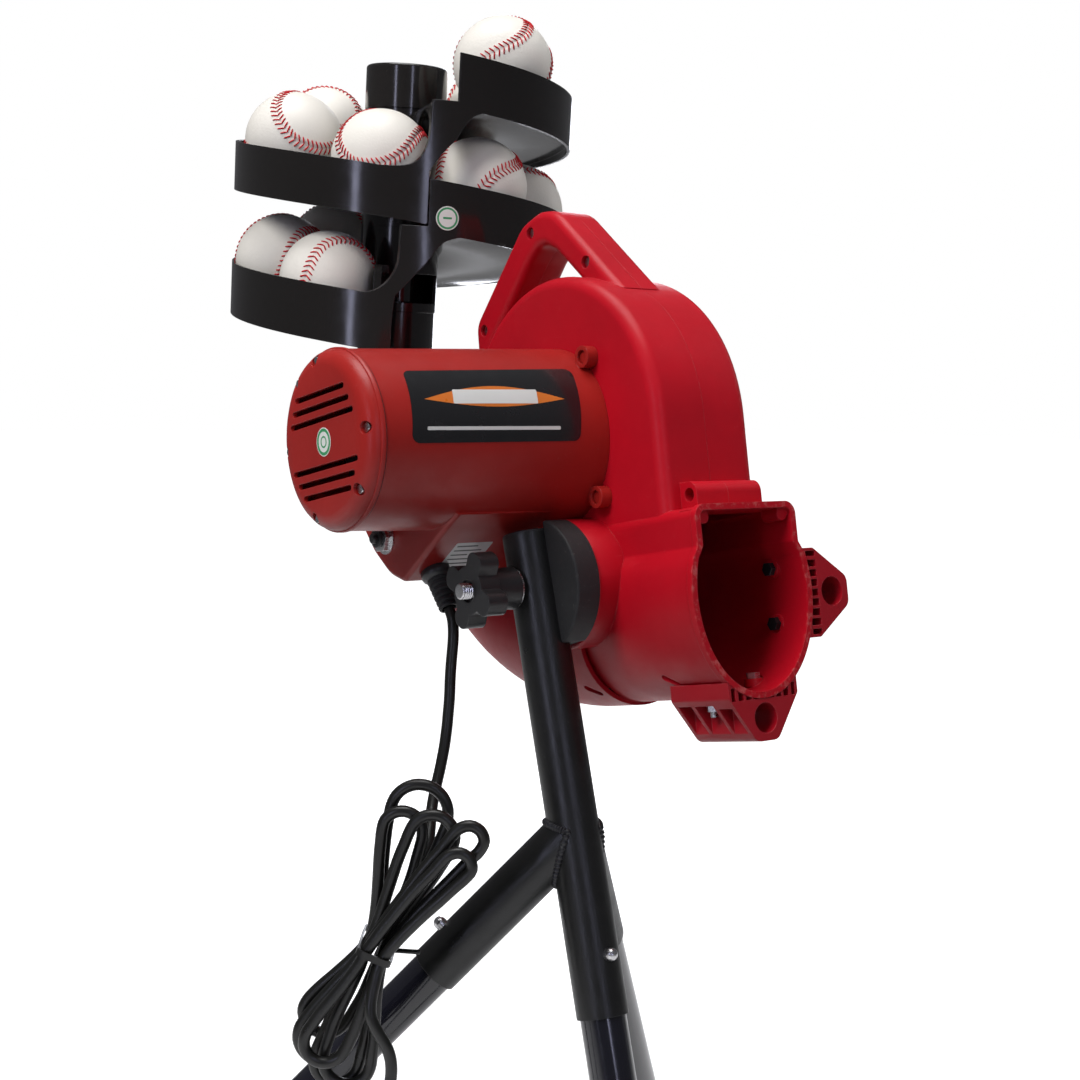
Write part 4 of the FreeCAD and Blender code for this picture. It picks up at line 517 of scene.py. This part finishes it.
# ---------------------------------------------------------------- baseballs
SEAM_STEPS = 2400
STITCH_PAIRS = 108
# share of the way along a stitch, thread radius in metres
STITCH_PROFILE = ((0.0, 0.0002), (0.12, 0.00048), (0.5, 0.00055), (0.88, 0.00048), (1.0, 0.0002))
# quaternions of the balls turned by design, counted from the top; the others lie at random
BALL_TURNS = {
    0: (0.0483, 0.6346, -0.6506, -0.4144),
    3: (-0.1164, 0.277, 0.9519, -0.0596),
    4: (0.0275, 0.3852, 0.4144, 0.8241),
    5: (-0.3452, -0.393, -0.3139, -0.7923),
    6: (-0.3232, 0.4751, -0.001, 0.8184),
    10: (0.7898, -0.0369, 0.2891, -0.5396),
    11: (-0.6105, 0.0946, -0.2832, 0.7336),
}


def loose_parts(ob):
    """Centre and half-width of every loose part, highest first."""
    coords = np.array([v.co for v in ob.data.vertices], float)
    ids = {}
    vert_ids = [ids.setdefault(tuple(c), len(ids)) for c in np.round(coords * 1e5).astype(int)]
    parent = list(range(len(ids)))

    def root(a):
        while parent[a] != a:
            parent[a] = parent[parent[a]]
            a = parent[a]
        return a

    for edge in ob.data.edges:
        a, b = (root(vert_ids[v]) for v in edge.vertices)
        if a != b:
            parent[a] = b
    groups = {}
    for i, vert_id in enumerate(vert_ids):
        groups.setdefault(root(vert_id), []).append(i)
    parts = []
    for group in groups.values():
        low, high = coords[group].min(0), coords[group].max(0)
        parts.append((Vector((low + high) / 2), float((high - low).max() / 2)))
    parts.sort(key=lambda part: -part[0].z)
    return parts


def seam_point(t):
    """Point of the seam on the unit sphere, for t from 0 to 4 pi."""
    swing = 0.4
    polar = math.pi / 2 - (math.pi / 2 - swing) * math.cos(t)
    around = t / 2 + swing * math.sin(2 * t)
    return Vector((math.sin(polar) * math.cos(around), math.sin(polar) * math.sin(around),
                   math.cos(polar)))


def leather_mesh(radius, seam):
    """Ball cover with a groove along the seam and a raised lip on each side of it."""
    bm = bmesh.new()
    bmesh.ops.create_icosphere(bm, subdivisions=6, radius=1.0)
    seam_array = np.array([tuple(p) for p in seam])
    for v in bm.verts:
        direction = np.array(tuple(v.co.normalized()))
        away = math.acos(min(1.0, float((seam_array @ direction).max()))) * radius
        groove = -0.00045 * math.exp(-(away / 0.0007) ** 2)
        lip = 0.00022 * math.exp(-((away - 0.0026) / 0.0017) ** 2)
        v.co = v.co.normalized() * (radius - 0.0002 + (groove + lip))
    mesh = bpy.data.meshes.new("ball_leather_mesh")
    bm.to_mesh(mesh)
    bm.free()
    return mesh


def stitch_mesh(radius, seam):
    """Pairs of slanting stitches, one leg to each side of the seam."""
    lengths = [0.0]
    for i in range(1, SEAM_STEPS + 1):
        lengths.append(lengths[-1] + (seam[i % SEAM_STEPS] - seam[i - 1]).length)
    verts, faces = [], []
    j = 0
    for k in range(STITCH_PAIRS):
        along = lengths[-1] * (k + 0.5) / STITCH_PAIRS
        while lengths[j + 1] < along:
            j += 1
        point = seam[j]
        tangent = (seam[(j + 3) % SEAM_STEPS] - seam[(j - 3) % SEAM_STEPS]).normalized()
        across = point.cross(tangent).normalized()
        for side in (-1, 1):
            inner = point * radius + tangent * 0.00035
            outer = point * radius + across * (side * 0.0046) - tangent * 0.0021
            path = []
            for share, _ in STITCH_PROFILE:
                lift = 0.00005 + 0.00028 * math.sin(math.pi * share)
                path.append(inner.lerp(outer, share).normalized() * (radius + lift))
            tube_verts, tube_faces = tube_mesh(path, [r for _, r in STITCH_PROFILE], sides=6)
            first = len(verts)
            verts += tube_verts
            faces += [tuple(i + first for i in face) for face in tube_faces]
    mesh = bpy.data.meshes.new("ball_stitch_mesh")
    mesh.from_pydata([tuple(v) for v in verts], [], faces)
    return mesh


def build_balls():
    cover = surface("ball_cover", (0.74, 0.71, 0.65), rough=0.46, tone=0.05, grain=520,
                    grain_height=0.00018, wave_height=0.0004, bevel=0.0, spec=0.4, sheen=0.1)
    thread = surface("red_thread", (0.50, 0.015, 0.02), rough=0.7, grain=2600,
                     grain_height=0.00015, tone=0.25, bevel=0.0, spec=0.3)
    balls = [part for part in loose_parts(NODES["baseballs"]) if part[1] > 0.02]
    radius = sum(part[1] for part in balls) / len(balls)
    seam = [seam_point(4 * math.pi * i / SEAM_STEPS) for i in range(SEAM_STEPS)]
    leather, stitches = leather_mesh(radius, seam), stitch_mesh(radius, seam)
    for mesh, mat in ((leather, cover), (stitches, thread)):
        for poly in mesh.polygons:
            poly.use_smooth = True
        mesh.materials.append(mat)
    rng = random.Random(23)
    for i, (centre, _) in enumerate(balls):
        # drawn for every ball, so that the turn of one doesn't change the next
        turn_x, turn_y, turn_z = (Matrix.Rotation(rng.uniform(0, 6.28), 4, axis)
                                  for axis in "XYZ")
        turn = turn_x @ turn_y @ turn_z
        if i in BALL_TURNS:
            turn = Quaternion(BALL_TURNS[i]).to_matrix().to_4x4()
        for prefix, mesh in (("ball", leather), ("ball_stitches", stitches)):
            ob = link_object("%s_%02d" % (prefix, i), mesh)
            ob.matrix_world = Matrix.Translation(centre) @ turn
            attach(ob, "head")
            if i == 0 and mesh is leather:
                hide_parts("baseballs")


build_balls()


# ---------------------------------------------------------------- printed films
def film(name, place, outline, height, thick, mat):
    """Thin film on a curved face of the head.

    The outline is in surface millimetres, and place(u, v, lift) gives the scene point.
    """
    cells = 34
    bm = bmesh.new()
    bm.faces.new([bm.verts.new((u, v, 0)) for u, v in outline])
    for axis, normal in ((0, (1, 0, 0)), (1, (0, 1, 0))):
        low = min(p[axis] for p in outline)
        high = max(p[axis] for p in outline)
        for i in range(1, cells):
            cut = low + (high - low) * i / cells
            bmesh.ops.bisect_plane(bm, geom=bm.verts[:] + bm.edges[:] + bm.faces[:],
                                   plane_co=[cut * n for n in normal], plane_no=normal,
                                   dist=1e-9)
    extruded = bmesh.ops.extrude_face_region(bm, geom=bm.faces[:])["geom"]
    top = {v for v in extruded if isinstance(v, bmesh.types.BMVert)}
    for v in bm.verts:
        v.co = place(v.co.x, v.co.y, height + (thick if v in top else 0.0))
    bmesh.ops.recalc_face_normals(bm, faces=bm.faces[:])
    mesh = bpy.data.meshes.new(name)
    bm.to_mesh(mesh)
    bm.free()
    for poly in mesh.polygons:
        poly.use_smooth = True
    ob = link_object(name, mesh)
    mesh.materials.append(mat)
    split_edges(ob, 40)
    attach(ob, "head")


def rounded(corners, radius, steps=6):
    """Outline with its corners rounded off."""
    outline = []
    for i in range(len(corners)):
        corner = Vector(corners[i])
        back = (Vector(corners[i - 1]) - corner).normalized()
        ahead = (Vector(corners[(i + 1) % len(corners)]) - corner).normalized()
        half = back.angle(ahead) / 2
        reach = radius / math.tan(half)
        c = corner + (back + ahead).normalized() * (radius / math.sin(half))
        start, end = corner + back * reach, corner + ahead * reach
        a0 = math.atan2(start.y - c.y, start.x - c.x)
        a1 = math.atan2(end.y - c.y, end.x - c.x)
        sweep = (a1 - a0 + math.pi) % (2 * math.pi) - math.pi
        for k in range(steps + 1):
            a = a0 + sweep * k / steps
            outline.append((c.x + radius * math.cos(a), c.y + radius * math.sin(a)))
    return outline


def slanted_bar(u0, u1, v0, v1, slant, radius):
    return rounded([(u1 - slant * v1, v1), (u0 - slant * v1, v1),
                    (u0 - slant * v0, v0), (u1 - slant * v0, v0)], radius)


def rectangle(u0, u1, v0, v1, radius):
    return rounded([(u0, v0), (u1, v0), (u1, v1), (u0, v1)], radius)


def circle(u, v, radius, steps=40):
    return [(u + radius * math.cos(2 * math.pi * k / steps),
             v + radius * math.sin(2 * math.pi * k / steps)) for k in range(steps)]


PRINT = dict(grain=1500, grain_height=0.00001, bevel=0.0)
PAPER = dict(grain=1200, grain_height=0.00002, bevel=0.0)
film_black = surface("label_film", (0.008, 0.008, 0.009), rough=0.22, tone=0.15, coat=0.6,
                     dust=0.02, **PRINT)
film_ember = surface("label_ember", (0.62, 0.16, 0.02), rough=0.30, tone=0.3, coat=0.4, **PRINT)
film_pale = surface("label_pale", (0.62, 0.62, 0.60), rough=0.35, tone=0.08, coat=0.3, **PRINT)
film_white = surface("sticker_paper", (0.74, 0.76, 0.72), rough=0.5, tone=0.05, **PAPER)
film_green = surface("sticker_green", (0.05, 0.30, 0.12), rough=0.45, **PAPER)

# the tapered motor housing: distance from the wheel and radius at its two ends, in millimetres
MOTOR_NEAR, MOTOR_NEAR_R = 37.55, 58.4
MOTOR_FAR, MOTOR_FAR_R = 197.0, 54.5
MOTOR_MEAN_R = 57.0


def on_motor(u, v, lift):
    """u mm along the motor from the wheel, v mm up round its front from level."""
    taper = (MOTOR_FAR_R - MOTOR_NEAR_R) * (u - MOTOR_NEAR) / (MOTOR_FAR - MOTOR_NEAR)
    r = MOTOR_NEAR_R + taper + 0.06 + lift
    a = v / MOTOR_MEAN_R
    return WHEEL + Vector((-u, -math.cos(a) * r, math.sin(a) * r)) * MM


def sweep_outline():
    """Long curved flash, humped above and sagging below."""
    steps, length, low_u, high_u, mid_v = 24, 100, 68, 168, 27.0
    upper = [(high_u - length * (k / steps), mid_v + 9.0 * math.sin(math.pi * k / steps))
             for k in range(steps + 1)]
    lower = [(low_u + length * (k / steps), mid_v - 5.0 * math.sin(math.pi * k / steps))
             for k in range(1, steps)]
    return upper + lower


label_outline = rounded([(175.6, 48.6), (53.4, 50.6), (60.6, 0.8), (179.6, -0.2)], 5.0)
# name, outline, height and thickness in millimetres, material
for name, outline, height, thick, mat in (
        ("motor_label", label_outline, 0.0, 0.12, film_black),
        ("label_sweep", sweep_outline(), 0.14, 0.06, film_ember),
        ("label_bar_a", slanted_bar(92, 152, 24.0, 33.5, 0.14, 0.8), 0.22, 0.05, film_pale),
        ("label_bar_b", slanted_bar(76, 170, 7.6, 9.8, 0.14, 0.6), 0.14, 0.05, film_pale)):
    film(name, on_motor, outline, height, thick, mat)


# ---------------------------------------------------------------- bead of the motor cap, and a dark ring of painted shade in the seam groove beside it
def motor_ring(name, profile, mat, steps=128):
    """Ring turned about the motor axis from a closed profile of x, radius in millimetres."""
    verts, faces = [], []
    count = len(profile)
    for k in range(steps):
        a = 2 * math.pi * k / steps
        verts += [head_point(x, r * math.cos(a), r * math.sin(a)) for x, r in profile]
    for k in range(steps):
        this, after = k * count, (k + 1) % steps * count
        for j in range(count):
            g = (j + 1) % count
            faces.append((this + j, this + g, after + g, after + j))
    add_mesh(name, verts, faces, mat, "head", split=40)


motor_ring("cap_bead", [(-196.3, 54.0), (-196.3, 55.0), (-196.7, 55.35), (-199.0, 55.3),
                        (-199.5, 54.9), (-199.5, 53.4)], MATS["red_housing"])
# painted shade: a thin dark ring at the cap seam stands in for the shadow in the groove, it is not a real part
motor_ring("cap_groove_painted_shade", [(-195.7, 54.0), (-195.7, 54.62), (-196.35, 54.6), (-196.35, 54.0)],
           MATS["black_rubber"])

# ---------------------------------------------------------------- sticker on the motor's end cap
CAP_STICKER_R = 8.6
CAP_CENTRE = Vector((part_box("motor_cap")[0].x, WHEEL.y - 0.0015, WHEEL.z - 0.001))


def cap_disc(name, inner, outer, low, high, mat, steps=64):
    """Disc, or ring where inner is over 0, on the cap's outer face; all in millimetres."""
    radii = (inner, outer) if inner > 0 else (outer,)
    verts, faces = [], []
    for z in (low, high):
        for r in radii:
            for k in range(steps):
                a = 2 * math.pi * k / steps
                verts.append(CAP_CENTRE + (HEAD_Y * math.cos(a) + HEAD_Z * math.sin(a)) * r * MM
                             + Vector((-1, 0, 0)) * z * MM)
    if inner > 0:
        in0, out0, in1, out1 = (steps * i for i in range(4))
        for k in range(steps):
            q = (k + 1) % steps
            faces += [(in1 + k, out1 + k, out1 + q, in1 + q), (in0 + k, in0 + q, out0 + q, out0 + k),
                      (out0 + k, out0 + q, out1 + q, out1 + k), (in0 + q, in0 + k, in1 + k, in1 + q)]
    else:
        faces += [tuple(range(steps)), tuple(range(steps, 2 * steps))]
        for k in range(steps):
            q = (k + 1) % steps
            faces.append((k, q, steps + q, steps + k))
    add_mesh(name, verts, faces, mat, "head", smooth=False)


cap_disc("sticker_cap", 0, CAP_STICKER_R, 0.02, 0.14, film_white)
for name, inner_share, outer_share in (("sticker_ring_cap", 0.72, 0.93),
                                       ("sticker_dot_cap", 0.30, 0.42)):
    cap_disc(name, CAP_STICKER_R * inner_share, CAP_STICKER_R * outer_share, 0.145, 0.19,
             film_green)

# ---------------------------------------------------------------- sticker on the track's outer wall
TOWER_ORIGIN = Vector(JOINTS["gate_swing"]["pos_m"])
TOWER_Z = Vector(JOINTS["gate_swing"]["axis"]).normalized()
TOWER_Y = TOWER_Z.cross(Vector((1, 0, 0))).normalized()
WALL_R = 127.5


def on_wall(u, v, lift):
    """u mm along the wall from straight ahead, v mm up the tower axis."""
    r = WALL_R + 0.05 + lift
    a = u / WALL_R
    return TOWER_ORIGIN + (Vector((1, 0, 0)) * (math.sin(a) * r) - TOWER_Y * (math.cos(a) * r)
                           + TOWER_Z * v) * MM


spot_u, spot_v = math.radians(-15.9) * WALL_R, 154.6
mark_outline = slanted_bar(spot_u - 3.2, spot_u + 3.2, spot_v - 0.6, spot_v + 0.8, 0.0, 0.4)
for name, outline, height, thick, mat in (
        ("track_sticker", circle(spot_u, spot_v, 8.4), 0.0, 0.10, film_white),
        ("track_sticker_green", circle(spot_u, spot_v, 7.6), 0.11, 0.03, film_green),
        ("track_sticker_face", circle(spot_u, spot_v, 6.2), 0.145, 0.03, film_white),
        ("track_sticker_mark", mark_outline, 0.18, 0.02, film_green)):
    film(name, on_wall, outline, height, thick, mat)

# ---------------------------------------------------------------- rating label
# on the sloping face of the electrical box, which looks forward and down
BOX_NORMAL = Vector((0.0, -0.608, -0.794)).normalized()
BOX_CENTRE = Vector((-0.0255, -0.0560, 0.7056))
BOX_X = Vector((1, 0, 0))
BOX_Y = BOX_NORMAL.cross(BOX_X).normalized()


def on_box(u, v, lift):
    return BOX_CENTRE + (BOX_X * u + BOX_Y * v) * MM + BOX_NORMAL * ((0.08 + lift) * MM)


film("rating_label", on_box, rectangle(-13.5, 13.5, -17, 15, 1.2), 0.0, 0.08, film_pale)
film_ink = surface("label_ink", (0.03, 0.035, 0.03), rough=0.5, tone=0.2, **PRINT)
# plain bars in place of print: they share one end, and these are the other ends
for i, bar_end in enumerate((4.0, 9.0, 1.0, 7.0, 10.5)):
    v = 11.0 - i * 5.0
    film("rating_bar_%d" % i, on_box, rectangle(-11.5, bar_end, v - 0.7, v + 0.7, 0.3),
         0.09, 0.02, film_ink)

# ---------------------------------------------------------------- welds of the stubs to the post
TUBE_R = 0.015875
POST_DIR = Vector((0.0, -0.289, -0.957)).normalized()
POST_TOP = Vector((0.0, PIVOT.y, PIVOT.z))
STUB_JOINT = POST_TOP + POST_DIR * 0.1517


def weld_path(side):
    """Half of the curve where a stub's tube meets the post's, on the stub's own side."""
    stub = Vector((side * 0.713, 0.612, -1.0)).normalized()
    e1 = stub.cross(POST_DIR).normalized()
    e2 = stub.cross(e1)
    points = []
    for k in range(160):
        a = 2 * math.pi * k / 160
        origin = STUB_JOINT + (e1 * math.cos(a) + e2 * math.sin(a)) * TUBE_R
        # where the line origin + stub * t leaves the post's cylinder
        offset = origin - POST_TOP
        slope = stub - POST_DIR * stub.dot(POST_DIR)
        radial = offset - POST_DIR * offset.dot(POST_DIR)
        qa, qb, qc = slope.dot(slope), 2 * slope.dot(radial), radial.dot(radial) - TUBE_R * TUBE_R
        root = math.sqrt(max(0.0, qb * qb - 4 * qa * qc))
        point = origin + stub * ((-qb + root) / (2 * qa))
        if side * point.x >= -0.0002:
            points.append(point)
    # start the run where it leaves the middle plane
    gap = max(range(len(points)), key=lambda i: (points[i] - points[i - 1]).length)
    points = points[gap:] + points[:gap]
    return [a.lerp(b, k / 3.0) for a, b in zip(points, points[1:]) for k in range(3)]


weld_mat = surface("weld_bead", (0.012, 0.012, 0.014), rough=0.38, grain=500,
                   grain_height=0.0003, wave_height=0.0015, bevel=0.0, dust=0.04)
for side, tag, seed in ((-1, "left", 3), (1, "right", 4)):
    rng = random.Random(seed)
    path = weld_path(side)
    radii = [0.0021 + 0.00045 * math.sin(i * 0.85) + rng.uniform(-0.00018, 0.00018)
             for i in range(len(path))]
    radii[0] = radii[-1] = 0.0008
    verts, faces = tube_mesh(path, radii, sides=10)
    add_mesh("weld_" + tag, verts, faces, weld_mat, "stand")


# ---------------------------------------------------------------- floor, world, lights, camera
def build_floor():
    bpy.ops.mesh.primitive_plane_add(size=60, location=(0, 0, -0.0005))
    floor = bpy.context.object
    floor.name = "floor"
    mat, graph, shader = new_material("studio_floor")
    coord = graph.node("ShaderNodeTexCoord").outputs["Object"]
    mottle = graph.noise(coord, scale=3.0, detail=3.0)
    rays = graph.node("ShaderNodeLightPath")
    pale = graph.mix(mottle, (0.86, 0.86, 0.86), (0.90, 0.90, 0.90))
    # darker to bounced light, so that less is thrown back up at the underside
    color = graph.mix(rays.outputs["Is Diffuse Ray"], pale, (0.22, 0.22, 0.22))
    graph.feed(shader.inputs["Base Color"], color)
    graph.feed(shader.inputs["Roughness"], 0.7)
    graph.feed(shader.inputs["Specular IOR Level"], 0.1)
    graph.feed(shader.inputs["Emission Color"], (1, 1, 1))
    # fades to white away from the machine, for the camera only
    distance = graph.node("ShaderNodeVectorMath", operation="LENGTH")
    graph.feed(distance.inputs[0], coord)
    glow = graph.ramp(distance.outputs["Value"], start=0.5, end=2.4, low=0.20, high=1.02)
    graph.feed(shader.inputs["Emission Strength"],
               graph.times(rays.outputs["Is Camera Ray"], glow))
    floor.data.materials.append(mat)


def build_world():
    """White to the camera, a dim grey wrap that brightens upward to everything else."""
    world = bpy.data.worlds.new("studio")
    scene.world = world
    world.use_nodes = True
    graph = Graph(world.node_tree)
    background = world.node_tree.nodes["Background"]
    camera_ray = graph.node("ShaderNodeLightPath").outputs["Is Camera Ray"]
    split = graph.node("ShaderNodeSeparateXYZ")
    graph.feed(split.inputs[0], graph.node("ShaderNodeTexCoord").outputs["Generated"])
    upward = graph.ramp(split.outputs["Z"], start=-0.2, end=0.9, low=0.55, high=1.0)
    graph.feed(background.inputs["Color"],
               graph.mix(camera_ray, (0.15, 0.15, 0.16), (1.0, 1.0, 1.0)))
    graph.feed(background.inputs["Strength"],
               graph.math("MAXIMUM", camera_ray, graph.times(upward, 1.0)))


def area_light(name, place, aim, size, watts, color=(1, 1, 1), glossy=True):
    """Rectangular light; glossy says whether it shows in reflections."""
    light = bpy.data.lights.new(name, "AREA")
    light.shape = "RECTANGLE"
    light.size, light.size_y = size
    light.energy = watts
    light.color = color
    ob = link_object(name, light)
    ob.location = place
    ob.rotation_euler = (Vector(aim) - Vector(place)).to_track_quat("-Z", "Y").to_euler()
    ob.visible_glossy = glossy


def build_lights():
    area_light("key_left", place=(-2.2, -0.35, 2.6), aim=(0, 0, 0.80), size=(1.0, 1.0), watts=57,
               color=(1.0, 0.99, 0.97), glossy=False)
    area_light("fill_front", place=(0.1, -2.6, 2.6), aim=(0, 0, 0.75), size=(1.2, 1.0), watts=13,
               color=(1.0, 0.98, 0.96), glossy=False)
    area_light("top_soft", place=(-0.2, 0.0, 2.9), aim=(0, 0.05, 0.8), size=(1.4, 1.4), watts=34)
    area_light("fill_right", place=(2.6, -0.3, 1.9), aim=(0, 0, 0.8), size=(1.2, 1.2), watts=22,
               glossy=False)
    area_light("rim_back", place=(1.6, 1.9, 1.4), aim=(0.1, 0.1, 0.9), size=(0.6, 1.6), watts=14,
               color=(0.90, 0.92, 1.0))
    # narrow strips that draw the long highlights on the gloss black
    area_light("strip_left", place=(-1.9, -0.9, 1.15), aim=(0.05, 0.15, 0.9), size=(0.16, 1.3),
               watts=5.0, color=(0.72, 0.74, 1.0))
    area_light("strip_front", place=(-0.55, -2.1, 1.25), aim=(0.05, 0.15, 0.9), size=(0.12, 1.2),
               watts=3.2, color=(0.70, 0.72, 1.0))


def build_camera():
    view_origin = Vector((0.0805, -0.073258, 0.785))
    offset = Vector((-0.69127, -0.87910, 0.02240))
    yaw, pitch, roll = (math.radians(a) for a in (35.671, -4.889, 0.831))
    data = bpy.data.cameras.new("camera")
    camera = link_object("camera", data)
    scene.camera = camera
    data.sensor_fit = "HORIZONTAL"
    data.sensor_width = 36.0
    data.lens = 56.666667
    data.clip_end = 100
    forward = Vector((math.sin(yaw) * math.cos(pitch), math.cos(yaw) * math.cos(pitch),
                      math.sin(pitch)))
    level = Vector((math.cos(yaw), -math.sin(yaw), 0))
    upright = level.cross(forward)
    right = level * math.cos(roll) + upright * math.sin(roll)
    up = -level * math.sin(roll) + upright * math.cos(roll)
    camera.matrix_world = Matrix((right, up, -forward)).transposed().to_4x4()
    camera.location = offset + view_origin


build_floor()
build_world()
build_lights()
build_camera()
scene.view_settings.view_transform = "Standard"
scene.view_settings.look = "None"
